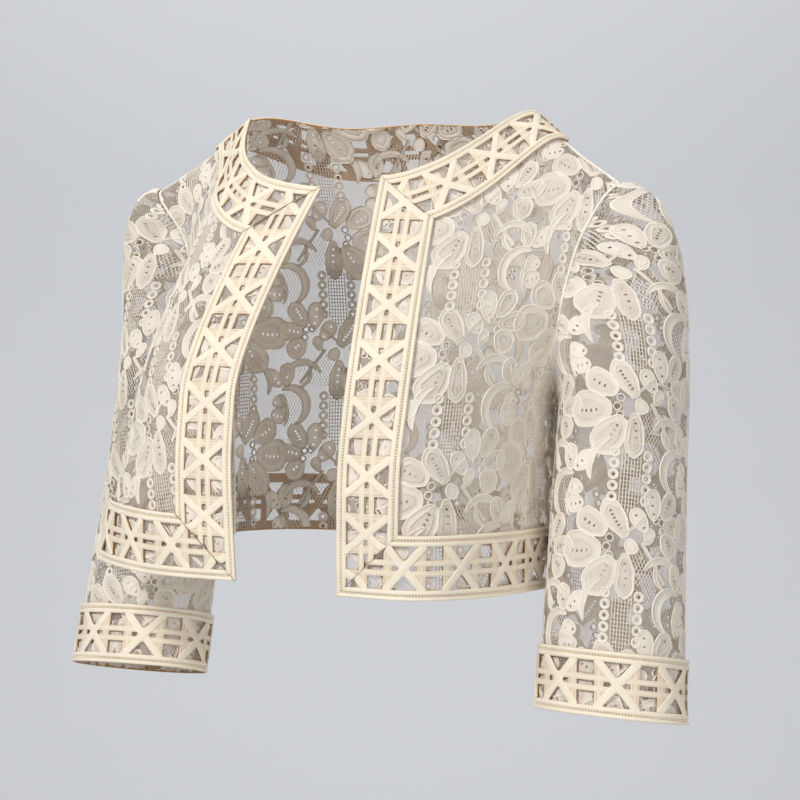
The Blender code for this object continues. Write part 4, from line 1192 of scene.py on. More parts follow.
@dataclass(frozen=True)
class LaceDesign:
    """One repeat of the floral lace, drawn about the middle of its ladder stripe."""

    column: float = 84.0 * MM
    repeat: float = 90.0 * MM
    drop: float = 22.0 * MM
    thread: float = 0.27 * MM
    ladder_half_width: float = 6.3 * MM
    ladder_half_length: float = 17.0 * MM
    ladder_point: float = 7.0 * MM
    ring_radius: float = 3.6 * MM
    ring_hole: float = 1.15 * MM
    ring_pitch: float = 7.25 * MM
    ring_offset: float = 11.2 * MM
    bloom: float = 1.2
    scallop: float = 0.03
    cord: float = 1.0 * MM
    cord_height: float = 0.95 * MM
    cloth_height: float = 0.42 * MM
    vein_hole: tuple[float, float] = (0.72 * MM, 1.15 * MM)
    underside: float = -0.15 * MM
    ladder_thread: float = 0.85 * MM
    rung: float = 0.6 * MM
    rung_pitch: float = 2.6 * MM
    net_reach: float = 65.0 * MM
    net_stretch: float = 2.7 * MM
    coarse_thread: float = 0.55 * MM
    coarse_reach: float = 90.0 * MM
    coarse_pitch: float = 2.15 * MM
    coarse_stretch: float = 2.2 * MM

    PETALS = (
        # x, y, length, width, turn, holes (mm and degrees; length points away from the centre)
        (17.6, -15.6, 17.5, 11.0, 98, 3),
        (31.0, -14.8, 17.5, 12.0, 58, 5),
        (37.4, -27.0, 18.0, 11.5, 8, 4),
        (32.6, -39.2, 14.5, 13.0, -42, 4),
        (8.6, -27.2, 15.0, 9.6, 128, 3),
        (-7.4, -27.9, 23.0, 12.5, 124, 6),
        (-23.0, -32.4, 20.0, 15.0, 152, 4),
        (-30.0, -49.6, 25.0, 20.5, 184, 5),
        (-15.8, -65.0, 25.0, 17.5, 236, 5),
        (0.6, -63.4, 25.0, 11.5, 272, 4),
        (-36.6, -10.6, 10.5, 9.0, 170, 2),
        (-36.0, -20.8, 11.5, 10.5, 190, 3),
        (52.0, 28.5, 15.0, 10.0, 40, 3),
        (41.0, 31.0, 15.0, 10.5, 96, 4),
    )
    PADS = (
        # x, y, length, width, turn: plain padded hearts and discs at the flowers' middles
        (16.0, -36.4, 12.0, 8.2, 70),
        (3.6, -44.2, 11.0, 9.6, -60),
    )
    EYES = (
        # x, y, radius: open eyes round the flowers' middles
        (20.6, -25.4, 1.5),
        (25.4, -25.8, 1.6),
        (26.6, -31.6, 1.6),
        (-10.6, -40.6, 1.7),
        (-12.4, -46.4, 1.7),
        (-10.2, -51.8, 1.7),
        (-3.4, -56.6, 1.5),
    )
    SCROLLS = (
        # x, y, radius, start, stop, width, lobes
        (38.4, 7.4, 14.0, 62, 246, 7.4, 0),
        (56.0, 2.0, 16.0, 118, 214, 3.0, 0),
        (-6.6, 3.6, 21.0, 112, 204, 5.2, 7),
        (28.0, -66.0, 16.0, 20, 150, 5.4, 0),
        (33.0, -58.0, 11.0, 150, 262, 3.4, 0),
    )
    STEMS = (
        # x0, y0, x1, y1, width
        (10.6, -40.8, 30.0, -65.4, 2.4),
        (19.6, -36.0, 12.0, -42.0, 2.0),
        (-4.0, -40.0, 12.6, -24.4, 1.8),
    )
    COARSE_NETS = (
        # corners of each patch of drop-shaped net
        ((8.6, -44.0), (25.6, -63.4), (8.2, -70.0), (4.2, -52.0)),
        ((17.0, -43.0), (36.0, -46.8), (31.0, -61.0)),
        ((27.6, 17.6), (45.4, 19.6), (47.0, 0.0), (42.6, -9.0), (33.0, -4.0), (26.6, 4.0)),
    )
    NET_COUNTS = ((38, -42), (38, 60))
    COARSE_ANGLES = (62.0, 118.0)

    def cord_profile(self, width: float) -> list[tuple[float, float]]:
        """Shape a padded strip with a raised cord along both edges.

        Args:
            width: Width of the strip.

        Returns:
            Pairs of place across and height.
        """
        edge = min(self.cord / (0.5 * width), 0.45)
        side = [
            (1.0, self.underside), (0.97, 0.6 * self.cord_height),
            (1.0 - 0.5 * edge, self.cord_height), (1.0 - edge, self.cloth_height),
        ]
        return [(-a, h) for a, h in side] + side[::-1]

    def petal(self, length: float, width: float, holes: int) -> Flat:
        """Draw a petal along +x with a raised edge and a row of vein holes.

        Args:
            length: Its length.
            width: Its width.
            holes: Number of vein holes.

        Returns:
            The flat petal about its middle.
        """
        count = 26
        angles = np.linspace(0.0, 2.0 * math.pi, count, endpoint=False)
        outline = np.column_stack((
            0.5 * length * np.cos(angles),
            0.5 * width * np.sin(angles) * (1.0 + 0.2 * np.cos(angles)),
        ))
        if holes > 3:
            outline *= (1.0 + self.scallop * np.cos(7.0 * angles))[:, None]
        radius = np.linalg.norm(outline, axis=1)
        steps = [
            (0.0, self.underside), (0.08 * MM, 0.6 * self.cord_height),
            (0.5 * self.cord, self.cord_height), (self.cord, self.cloth_height),
        ]
        if holes > 3:
            band = 0.24 * width
            steps.extend((
                (band, 0.8 * self.cloth_height), (band + 0.25 * MM, 1.9 * self.cloth_height),
                (band + 0.75 * MM, 0.3 * self.cloth_height),
            ))
        rows = []
        for inset, height in steps:
            ring = outline * (1.0 - inset / radius)[:, None]
            rows.append(np.column_stack((ring, np.full(count, height))))
        rim = loft(rows, True)
        inner = rows[-1][:, :2]
        low = steps[-1][1]
        eyes = []
        reach = 0.30 * length if holes > 3 else 0.33 * length
        for k in range(holes):
            x = reach * (-0.85 + 1.55 * k / max(holes - 1, 1))
            y = 0.05 * width * math.sin(2.4 * k / max(holes - 1, 1))
            turn = np.linspace(0.0, 2.0 * math.pi, 6, endpoint=False)
            eyes.append(np.column_stack((
                x + self.vein_hole[0] * np.cos(turn), y + self.vein_hole[1] * np.sin(turn),
            )))
        eyes = [eye for eye in eyes if inside(eye, inner).all()]
        spread = panel_points(inner, 3.0 * MM)
        if len(spread) and eyes:
            middles = np.array([eye.mean(axis=0) for eye in eyes])
            gap = np.linalg.norm(spread[:, None] - middles[None], axis=2).min(axis=1)
            spread = spread[gap > 1.8 * MM]
        flat, triangles = triangulate(inner, eyes, spread)
        share = np.linalg.norm(flat / (0.5 * np.array([length, width])), axis=1)
        dome = low + 0.18 * MM * np.clip(1.0 - 1.6 * share * share, 0.0, 1.0)
        centre = Flat(np.column_stack((flat, dome)), triangles, NO_QUADS)
        return Flat.joined((rim, turned_up(centre)))

    def ring(self, radius: float, hole: float) -> Flat:
        """Draw a corded ring round an eye.

        Args:
            radius: Outer radius.
            hole: Radius of the eye.

        Returns:
            The flat ring about its middle.
        """
        angles = np.linspace(0.0, 2.0 * math.pi, 18, endpoint=False)
        rows = []
        for r, height in (
            (radius, self.underside), (radius - 0.1 * MM, 0.5 * MM),
            (radius - 0.5 * self.cord, self.cord_height), (radius - self.cord, self.cloth_height),
            (hole + 0.45 * MM, self.cloth_height + 0.12 * MM), (hole, -0.1 * MM),
        ):
            if r >= hole:
                rows.append(np.column_stack((
                    r * np.cos(angles), r * np.sin(angles), np.full(len(angles), height),
                )))
        return loft(rows, True)

    def scroll(self, row: Sequence[float]) -> Flat:
        """Draw a crescent that thins towards both ends.

        Args:
            row: A row of SCROLLS, in mm and degrees.

        Returns:
            The flat crescent.
        """
        x, y, radius, start, stop, width, lobes = row
        steps = max(10, int(abs(stop - start) * radius / 150.0))
        path = arc_path(x * MM, y * MM, radius * MM, start, stop, steps)
        q = np.linspace(0.0, 1.0, len(path))
        widths = width * MM * (0.22 + 0.78 * np.sin(math.pi * q) ** 0.7)
        if lobes:
            widths = widths * (1.0 + 0.22 * np.abs(np.sin(lobes * math.pi * q)))
        return ribbon(path, widths, self.cord_profile(width * MM))

    def ladder(self) -> Flat:
        """Draw the pointed ladder stripe of straight and cross threads."""
        parts = []
        profile = ((-1.0, 0.0), (-0.5, 0.38 * MM), (0.5, 0.38 * MM), (1.0, 0.0))
        half = self.ladder_half_width
        for x in np.linspace(-half, half, 7):
            tip = self.ladder_point * (1.0 - abs(x) / half)
            y = np.linspace(-self.ladder_half_length - tip, self.ladder_half_length + tip, 11)
            parts.append(ribbon(np.column_stack((np.full(11, x), y)),
                                self.ladder_thread, profile))
        end = self.ladder_half_length + self.ladder_point
        for y in np.arange(-end + self.rung_pitch, end, self.rung_pitch):
            beyond = max(0.0, abs(y) - self.ladder_half_length) / self.ladder_point
            reach = half * (1.0 - beyond)
            if reach > 1.0 * MM:
                x = np.linspace(-reach, reach, 7)
                path = np.column_stack((x, np.full(7, y)))
                parts.append(ribbon(path, self.rung, profile))
        return Flat.joined(parts)

    def rings(self) -> list[Flat]:
        """Draw the two chains of rings beside the ladder."""
        one = self.ring(self.ring_radius, self.ring_hole)
        return [
            one.placed(side * self.ring_offset, k * self.ring_pitch)
            for side in (-1.0, 1.0) for k in range(-2, 3)
        ]

    def covered(self, points: Array, slack: float = 0.0) -> Array:
        """Tell where solid clothwork lies, in this repeat and in those round it.

        Args:
            points: Flat points about the middle of the ladder.
            slack: How far the clothwork is drawn in.

        Returns:
            True for each point under clothwork or a stripe.
        """
        found = np.zeros(len(points), bool)
        for i in (-1, 0, 1):
            for j in (-1, 0, 1):
                p = points - np.array([i * self.column, i * self.drop + j * self.repeat])
                found |= self.covered_once(p, slack)
        return found

    def covered_once(self, p: Array, slack: float) -> Array:
        """Tell where the clothwork of one repeat lies.

        Args:
            p: Flat points about the middle of its ladder.
            slack: How far the clothwork is drawn in.

        Returns:
            True for each point under it.
        """
        found = np.zeros(len(p), bool)
        for x, y, length, width, turn, *_ in self.PETALS + self.PADS:
            d = p - np.array([x, y]) * MM
            c = math.cos(math.radians(turn))
            s = math.sin(math.radians(turn))
            bloom = 0.5 * self.bloom * MM
            along = (d[:, 0] * c + d[:, 1] * s) / (length * bloom - slack)
            across = (d[:, 1] * c - d[:, 0] * s) / (width * bloom - slack)
            found |= along**2 + across**2 < 1.0
        for x, y, radius in self.EYES:
            found |= np.linalg.norm(p - np.array([x, y]) * MM, axis=1) < (radius + 1.0) * MM - slack
        for side in (-1.0, 1.0):
            near = np.round(p[:, 1] / self.ring_pitch).clip(-2, 2) * self.ring_pitch
            d = np.hypot(p[:, 0] - side * self.ring_offset, p[:, 1] - near)
            found |= d < self.ring_radius - slack
        tip = self.ladder_point * (1.0 - np.abs(p[:, 0]) / self.ladder_half_width).clip(0.0)
        wide = np.abs(p[:, 0]) < self.ladder_half_width
        found |= wide & (np.abs(p[:, 1]) < self.ladder_half_length + tip)
        for x, y, radius, start, stop, width, _ in self.SCROLLS:
            d = p - np.array([x, y]) * MM
            angle = np.degrees(np.arctan2(d[:, 1], d[:, 0]))
            angle = np.where(angle < start, angle + 360.0, angle)
            q = (angle - start) / (stop - start)
            half = 0.5 * width * MM * (0.22 + 0.78 * np.sin(math.pi * q.clip(0.0, 1.0)) ** 0.7)
            off = np.abs(np.linalg.norm(d, axis=1) - radius * MM)
            found |= (q > 0.0) & (q < 1.0) & (off < half - slack)
        for corners in self.COARSE_NETS:
            found |= inside(p, np.array(corners) * MM)
        return found

    def net_lines(
        self, angle: float, spacing: float, reach: float, step: float,
        keep: Callable[[Array], Array], width: float,
    ) -> Flat:
        """Lay parallel threads and keep their stretches that pass a test.

        Args:
            angle: Direction of the threads in degrees.
            spacing: Distance between two threads.
            reach: How far from the middle they go.
            step: Length of one stretch.
            keep: Takes the middles of the stretches and tells which are kept.
            width: Width of a thread.

        Returns:
            Flat quads, one for each stretch.
        """
        run = np.array([math.cos(math.radians(angle)), math.sin(math.radians(angle))])
        side = np.array([-run[1], run[0]])
        lines = np.arange(-math.ceil(reach / spacing), math.ceil(reach / spacing) + 1) * spacing
        stretches = np.arange(-reach, reach, step)
        a, b = np.meshgrid(lines, stretches, indexing="ij")
        starts = a.reshape(-1, 1) * side + b.reshape(-1, 1) * run
        chosen = starts[keep(starts + 0.5 * step * run)]
        half = 0.5 * width * side
        corners = [chosen - half, chosen + step * run - half, chosen + step * run + half,
                   chosen + half]
        points = np.stack(corners, axis=1).reshape(-1, 2)
        quads = np.arange(len(points)).reshape(-1, 4)
        low = 0.25 * MM if width > self.thread else 0.10 * MM
        height = low + 0.08 * MM * (angle > 90.0)
        return Flat(np.column_stack((points, np.full(len(points), height))),
                    NO_TRIS, quads)

    def fine_net(self) -> list[Flat]:
        """Fill the ground of one repeat with two crossing families of threads."""
        parts = []
        half = 0.5 * np.array([self.column, self.repeat])
        for up, over in self.NET_COUNTS:
            rise = up / self.repeat
            across = (over - up * self.drop / self.repeat) / self.column
            spacing = 1.0 / math.hypot(rise, across)
            angle = math.degrees(math.atan2(-across, rise)) % 180.0

            def keep(p: Array) -> Array:
                """Keep the ground inside this repeat's own cell."""
                near = (np.abs(p) <= half).all(axis=1)
                near[near] = ~self.covered(p[near], 0.5 * MM)
                return near

            parts.append(self.net_lines(angle, spacing, self.net_reach, self.net_stretch, keep,
                                        self.thread))
        return parts

    def coarse_net(self) -> list[Flat]:
        """Fill the patches of drop-shaped net."""
        parts = []
        for corners in self.COARSE_NETS:
            patch = np.array(corners) * MM
            for angle in self.COARSE_ANGLES:
                parts.append(self.net_lines(
                    angle, self.coarse_pitch, self.coarse_reach, self.coarse_stretch,
                    lambda p, patch=patch: inside(p, patch), self.coarse_thread,
                ))
        return parts

    def tile(self) -> Flat:
        """Draw one whole repeat."""
        parts = [self.ladder(), *self.rings(), *self.fine_net(), *self.coarse_net()]
        for x, y, length, width, turn, holes in self.PETALS:
            bloom = self.bloom * MM
            parts.append(self.petal(length * bloom, width * bloom, holes).placed(
                x * MM, y * MM, turn,
            ))
        for x, y, length, width, turn in self.PADS:
            parts.append(self.petal(length * MM, width * MM, 0).placed(x * MM, y * MM, turn))
        for x, y, radius in self.EYES:
            parts.append(self.ring((radius + 1.2) * MM, radius * MM).placed(x * MM, y * MM))
        parts.extend(self.scroll(row) for row in self.SCROLLS)
        for x0, y0, x1, y1, width in self.STEMS:
            path = np.linspace((x0 * MM, y0 * MM), (x1 * MM, y1 * MM), 9)
            parts.append(ribbon(path, width * MM, self.cord_profile(width * MM)))
        return Flat.joined(parts)


def turned_up(flat: Flat) -> Flat:
    """Turn each triangle so that it faces up.

    Args:
        flat: A flat mesh.

    Returns:
        The same mesh with its triangles facing up.
    """
    a, b, c = (flat.points[flat.tris[:, k]] for k in range(3))
    area = (b[:, 0] - a[:, 0]) * (c[:, 1] - a[:, 1]) - (b[:, 1] - a[:, 1]) * (c[:, 0] - a[:, 0])
    tris = np.where((area < 0.0)[:, None], flat.tris[:, ::-1], flat.tris)
    return Flat(flat.points, tris, flat.quads)


@dataclass
class NodeMaker:
    """Adds nodes to a tree and links them."""

    tree: bpy.types.NodeTree

    def fill(self, node: bpy.types.Node, inputs: dict[str | int, Any]) -> bpy.types.Node:
        """Give a node's inputs their values or the sockets that feed them.

        Args:
            node: The node.
            inputs: A value or a socket for each input.

        Returns:
            The same node.
        """
        for key, value in inputs.items():
            if isinstance(value, Socket):
                self.tree.links.new(value, node.inputs[key])
            else:
                node.inputs[key].default_value = value
        return node

    def add(
        self, kind: str, inputs: dict[str | int, Any] | None = None, **settings: str,
    ) -> bpy.types.Node:
        """Add a node.

        Args:
            kind: Its type.
            inputs: A value or a socket for each input that isn't left as it is.
            **settings: Its properties.

        Returns:
            The new node.
        """
        node = self.tree.nodes.new(kind)
        for name, value in settings.items():
            setattr(node, name, value)
        return self.fill(node, inputs or {})


@dataclass(frozen=True)
class FinishWithPaintedShade:
    """A dull textile finish with a fine weave and painted shade: its colour is darker in its
    hollows, where the relief is low.
    """

    name: str
    light: Colour
    hollow_shade: Colour
    roughness: float
    sheen: float
    thread_mm: float
    thread_depth: float
    spread: tuple[float, float]

    def material(self) -> Material:
        """Build the finish.

        Returns:
            A node material that reads the cloth's own lengths and relief.
        """
        material = bpy.data.materials.new(self.name)
        material.use_nodes = True
        make = NodeMaker(material.node_tree)
        # Painted shade: the colour ramps from a dark shade where the relief is low, in hollows,
        # grooves and the net, to the pale thread colour on the ridges.
        relief = make.add("ShaderNodeAttribute", attribute_name=RELIEF)
        ramp = make.add("ShaderNodeValToRGB", {"Fac": relief.outputs["Fac"]})
        colours = (self.hollow_shade, self.light)
        for element, position, colour in zip(ramp.color_ramp.elements, self.spread, colours):
            element.position = position
            element.color = colour

        place = make.add("ShaderNodeTexCoord")
        cloudy = make.add("ShaderNodeTexNoise", {
            "Vector": place.outputs["Object"], "Scale": 38.0, "Detail": 3.0,
        })
        mottle = make.add("ShaderNodeMapRange", {
            "Value": cloudy.outputs["Fac"], "From Min": 0.3, "From Max": 0.7,
            "To Min": 0.93, "To Max": 1.03,
        })
        tint = make.add("ShaderNodeMix", {
            "Factor": 1.0, MIX_A: ramp.outputs["Color"], MIX_B: mottle.outputs["Result"],
        }, data_type="RGBA", blend_type="MULTIPLY")

        flat = make.add("ShaderNodeUVMap", uv_map=FLAT_MAP)
        waves = [
            make.add("ShaderNodeTexWave", {
                "Vector": flat.outputs["UV"], "Scale": 100.0 * math.pi / self.thread_mm,
                "Distortion": 0.6, "Detail": 1.0,
            }, wave_type="BANDS", bands_direction=direction).outputs["Fac"]
            for direction in ("X", "Y")
        ]
        weave = make.add("ShaderNodeMath", dict(enumerate(waves)), operation="MULTIPLY")
        bump = make.add("ShaderNodeBump", {
            "Strength": 0.55, "Distance": self.thread_depth, "Height": weave.outputs["Value"],
        })
        make.fill(material.node_tree.nodes["Principled BSDF"], {
            "Base Color": tint.outputs[MIX_RESULT], "Roughness": self.roughness,
            "Sheen Weight": self.sheen, "Sheen Roughness": 0.5, "Specular IOR Level": 0.25,
            "Normal": bump.outputs["Normal"],
        })
        return material


@dataclass(frozen=True)
class Grain:
    """Where the lace's repeat lies on a panel, seen from outside."""

    x: float
    y: float
    turn: float = 0.0


HALF_GAP = 0.02 * MM
SEAM_LIFT = 0.4 * MM
LACE_TUCK = 1.4 * MM
GRAINS = {
    "front_left": Grain(72.6 * MM, 77.4 * MM),
    "front_right": Grain(-72.6 * MM, 23.4 * MM, 12.0),
    "back": Grain(0.0, 40.0 * MM),
    "sleeve_left": Grain(-50.4 * MM, -48.9 * MM, -2.5),
    "sleeve_right": Grain(57.6 * MM, -22.8 * MM, 9.0),
}
MIX_A, MIX_B, MIX_RESULT = 6, 7, 2
RELIEF = "relief"
FLAT_MAP = "cutting_lengths"
# Lace thread: ivory on the raised cords, with painted shade that darkens the low cloth and the net
# to tan.
LACE_FINISH_AND_SHADE = FinishWithPaintedShade(
    "lace_thread", (0.94, 0.86, 0.75, 1.0), (0.58, 0.50, 0.41, 1.0), 0.86, 0.2, 0.42, 0.00012,
    (0.0, 0.75),
)
# Braid cord: cream on the ridges, with painted shade in orange brown in the grooves and the low
# slits.
BRAID_FINISH_AND_SHADE = FinishWithPaintedShade(
    "braid_cord", (0.91, 0.81, 0.64, 1.0), (0.47, 0.25, 0.09, 1.0), 0.78, 0.2, 0.62, 0.00018,
    (0.34, 0.66),
)


def to_mesh(name: str, flat: Flat) -> bpy.types.Mesh:
    """Make a Blender mesh of a flat mesh.

    Args:
        name: Its name.
        flat: The flat mesh.

    Returns:
        The new mesh.
    """
    mesh = bpy.data.meshes.new(name)
    mesh.from_pydata(flat.points.tolist(), [], flat.tris.tolist() + flat.quads.tolist())
    mesh.update()
    return mesh


def from_mesh(mesh: bpy.types.Mesh) -> Flat:
    """Read a Blender mesh of triangles and quads.

    Args:
        mesh: The mesh.

    Returns:
        The flat mesh.
    """
    points = np.zeros(len(mesh.vertices) * 3)
    mesh.vertices.foreach_get("co", points)
    starts = np.zeros(len(mesh.polygons), int)
    totals = np.zeros(len(mesh.polygons), int)
    corners = np.zeros(len(mesh.loops), int)
    mesh.polygons.foreach_get("loop_start", starts)
    mesh.polygons.foreach_get("loop_total", totals)
    mesh.loops.foreach_get("vertex_index", corners)
    tris = corners[starts[totals == 3][:, None] + np.arange(3)]
    quads = corners[starts[totals == 4][:, None] + np.arange(4)]
    return Flat(points.reshape(-1, 3), tris, quads)


@dataclass
class LatticeTree:
    """Geometry Nodes that lay a motif out in columns, each a drop higher than the last."""

    tree: bpy.types.NodeTree = field(init=False)
    inputs: dict[str, str] = field(init=False, default_factory=dict)

    def __post_init__(self) -> None:
        """Build the tree."""
        tree = bpy.data.node_groups.new("motif_lattice", "GeometryNodeTree")
        self.tree = tree
        for name, kind in (
            ("Geometry", "NodeSocketGeometry"), ("Motif", "NodeSocketObject"),
            ("Columns", "NodeSocketInt"), ("Rows", "NodeSocketInt"),
            ("Column Width", "NodeSocketFloat"), ("Row Height", "NodeSocketFloat"),
            ("Drop", "NodeSocketFloat"), ("Stretch", "NodeSocketFloat"),
            ("FinishWithPaintedShade", "NodeSocketMaterial"),
        ):
            self.inputs[name] = tree.interface.new_socket(
                name=name, in_out="INPUT", socket_type=kind,
            ).identifier
        tree.interface.new_socket(
            name="Geometry", in_out="OUTPUT", socket_type="NodeSocketGeometry",
        )
        make = NodeMaker(tree)
        source = make.add("NodeGroupInput").outputs
        grid = make.add("GeometryNodeMeshGrid", {
            "Size X": self.span(make, source["Columns"], source["Column Width"]),
            "Size Y": self.span(make, source["Rows"], source["Row Height"]),
            "Vertices X": source["Columns"], "Vertices Y": source["Rows"],
        })
        position = make.add("GeometryNodeInputPosition")
        split = make.add("ShaderNodeSeparateXYZ", {0: position.outputs[0]})
        index = self.maths(make, "DIVIDE", split.outputs["X"], source["Column Width"])
        shift = self.maths(make, "MULTIPLY", index, source["Drop"])
        offset = make.add("ShaderNodeCombineXYZ", {"Y": shift})
        move = make.add("GeometryNodeSetPosition", {
            "Geometry": grid.outputs["Mesh"], "Offset": offset.outputs[0],
        })
        motif = make.add("GeometryNodeObjectInfo", {"Object": source["Motif"]})
        scale = make.add("ShaderNodeCombineXYZ", {"X": source["Stretch"], "Y": 1.0, "Z": 1.0})
        place = make.add("GeometryNodeInstanceOnPoints", {
            "Points": move.outputs["Geometry"], "Instance": motif.outputs["Geometry"],
            "Scale": scale.outputs[0],
        })
        realize = make.add("GeometryNodeRealizeInstances", {"Geometry": place.outputs[0]})
        dress = make.add("GeometryNodeSetMaterial", {
            "Geometry": realize.outputs["Geometry"], "Material": source["FinishWithPaintedShade"],
        })
        make.add("NodeGroupOutput", {"Geometry": dress.outputs["Geometry"]})

    @staticmethod
    def maths(
        make: NodeMaker, operation: str, a: Socket,
        b: Socket | float,
    ) -> Socket:
        """Add a Math node.

        Args:
            make: Makes the tree's nodes.
            operation: What the node does.
            a: First value.
            b: Second value.

        Returns:
            Its result.
        """
        return make.add("ShaderNodeMath", {0: a, 1: b}, operation=operation).outputs[0]

    @classmethod
    def span(
        cls, make: NodeMaker, count: Socket, step: Socket,
    ) -> Socket:
        """Work out the length from the first of some steps to the last.

        Args:
            make: Makes the tree's nodes.
            count: Number of places.
            step: Distance between two.

        Returns:
            The length.
        """
        return cls.maths(make, "MULTIPLY", cls.maths(make, "SUBTRACT", count, 1.0), step)

    def laid_out(
        self, motif: Flat, columns: int, rows: int, column: float, row: float, drop: float,
        stretch: float, finish: Material,
    ) -> Flat:
        """Lay a motif out about the middle of the lattice.

        Args:
            motif: The flat motif.
            columns: Number of columns.
            rows: Number of rows.
            column: Width of a column.
            row: Height of a row.
            drop: How much higher each column is.
            stretch: Size factor across.
            finish: The material.

        Returns:
            All the motifs as one flat mesh.
        """
        scene = bpy.context.scene.collection.objects
        one = bpy.data.objects.new("motif", to_mesh("motif", motif))
        host = bpy.data.objects.new("lattice", bpy.data.meshes.new("lattice"))
        scene.link(one)
        scene.link(host)
        modifier = host.modifiers.new("lattice", "NODES")
        modifier.node_group = self.tree
        for name, value in (
            ("Motif", one), ("Columns", columns), ("Rows", rows), ("Column Width", column),
            ("Row Height", row), ("Drop", drop), ("Stretch", stretch), ("FinishWithPaintedShade", finish),
        ):
            modifier[self.inputs[name]] = value
        bpy.context.view_layer.update()
        graph = bpy.context.evaluated_depsgraph_get()
        mesh = bpy.data.meshes.new_from_object(host.evaluated_get(graph))
        flat = from_mesh(mesh)
        host.modifiers.remove(modifier)
        bpy.data.objects.remove(one)
        bpy.data.objects.remove(host)
        bpy.data.meshes.remove(mesh)
        return flat


def finished(
    name: str, points: Array, flat: Flat, material: Material, relief: Array,
) -> bpy.types.Object:
    """Make a finished piece of a mapped flat mesh.

    Args:
        name: Name of the piece.
        points: The mapped points.
        flat: The flat mesh that they come from.
        material: Its finish.
        relief: Height of each point, from 0 at the lowest to 1 on a ridge, which sets the painted
            shade.

    Returns:
        The piece, riding on the jacket.
    """
    mesh = to_mesh(name, Flat(points, flat.tris, flat.quads))
    lengths = mesh.uv_layers.new(name=FLAT_MAP)
    corners = np.zeros(len(mesh.loops), int)
    mesh.loops.foreach_get("vertex_index", corners)
    lengths.data.foreach_set("uv", flat.points[corners, :2].astype(np.float32).ravel())
    raised = mesh.attributes.new(RELIEF, "FLOAT", "POINT")
    raised.data.foreach_set("value", relief.astype(np.float32))
    mesh.polygons.foreach_set("use_smooth", np.ones(len(mesh.polygons), bool))
    mesh.materials.append(material)
    mesh.update()
    piece = bpy.data.objects.new(name, mesh)
    bpy.context.scene.collection.objects.link(piece)
    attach(piece, "root")
    LOG.info("%s: %d triangles", name, len(flat.tris) + 2 * len(flat.quads))
    return piece


@dataclass
class LacePanel:
    """One piece of lace: the repeat laid over it, cut to its outline and mapped onto it."""

    name: str
    surface: Side
    outline: Array
    bound: Array
    grain: Grain

    def area(self) -> float:
        """Return the flat area of the cut piece."""
        x, y = self.outline[:, 0], self.outline[:, 1]
        return 0.5 * abs(float(x @ np.roll(y, -1) - y @ np.roll(x, -1)))

    def size(self) -> tuple[float, float]:
        """Return the flat width and length of the cut piece."""
        width, length = self.outline.max(axis=0) - self.outline.min(axis=0)
        return float(width), float(length)

    def build(
        self, design: LaceDesign, tile: Flat, lattice: LatticeTree, material: Material,
    ) -> bpy.types.Object:
        """Build the panel.

        Args:
            design: The lace.
            tile: One repeat of it.
            lattice: Lays the repeat out.
            material: The finish.

        Returns:
            The finished panel.
        """
        middle = self.bound.mean(axis=0)
        hand = handedness(self.surface, middle[0], middle[1])
        outline = self.bound * (hand, 1.0)
        grain = self.grain
        turn = math.radians(-grain.turn)
        back = np.array([(math.cos(turn), math.sin(turn)), (-math.sin(turn), math.cos(turn))])
        there = (outline - np.array([grain.x, grain.y])) @ back
        reach = np.abs(there).max(axis=0)
        columns = 2 * math.ceil(reach[0] / design.column + 0.6) + 1
        tallest = reach[1] + 0.5 * columns * design.drop
        rows = 2 * math.ceil(tallest / design.repeat + 0.9) + 1
        flat = lattice.laid_out(tile, columns, rows, design.column, design.repeat, design.drop,
                                1.0, material)
        flat = flat.placed(grain.x, grain.y, grain.turn)
        low = outline.min(axis=0)
        high = outline.max(axis=0)

        def keep(p: Array) -> Array:
            """Keep what lies inside the cut."""
            near = ((p > low) & (p < high)).all(axis=1)
            near[near] = inside(p[near], outline)
            return near

        flat = flat.kept(keep)
        middles, normals = self.surface.at(hand * flat.points[:, 0], flat.points[:, 1])
        points = middles + flat.points[:, 2:] * normals
        # The relief sets the painted shade: low thread is coloured darker.
        relief = np.clip(flat.points[:, 2] / design.cord_height, 0.0, 1.0)
        return finished(self.name, points, flat, material, relief)


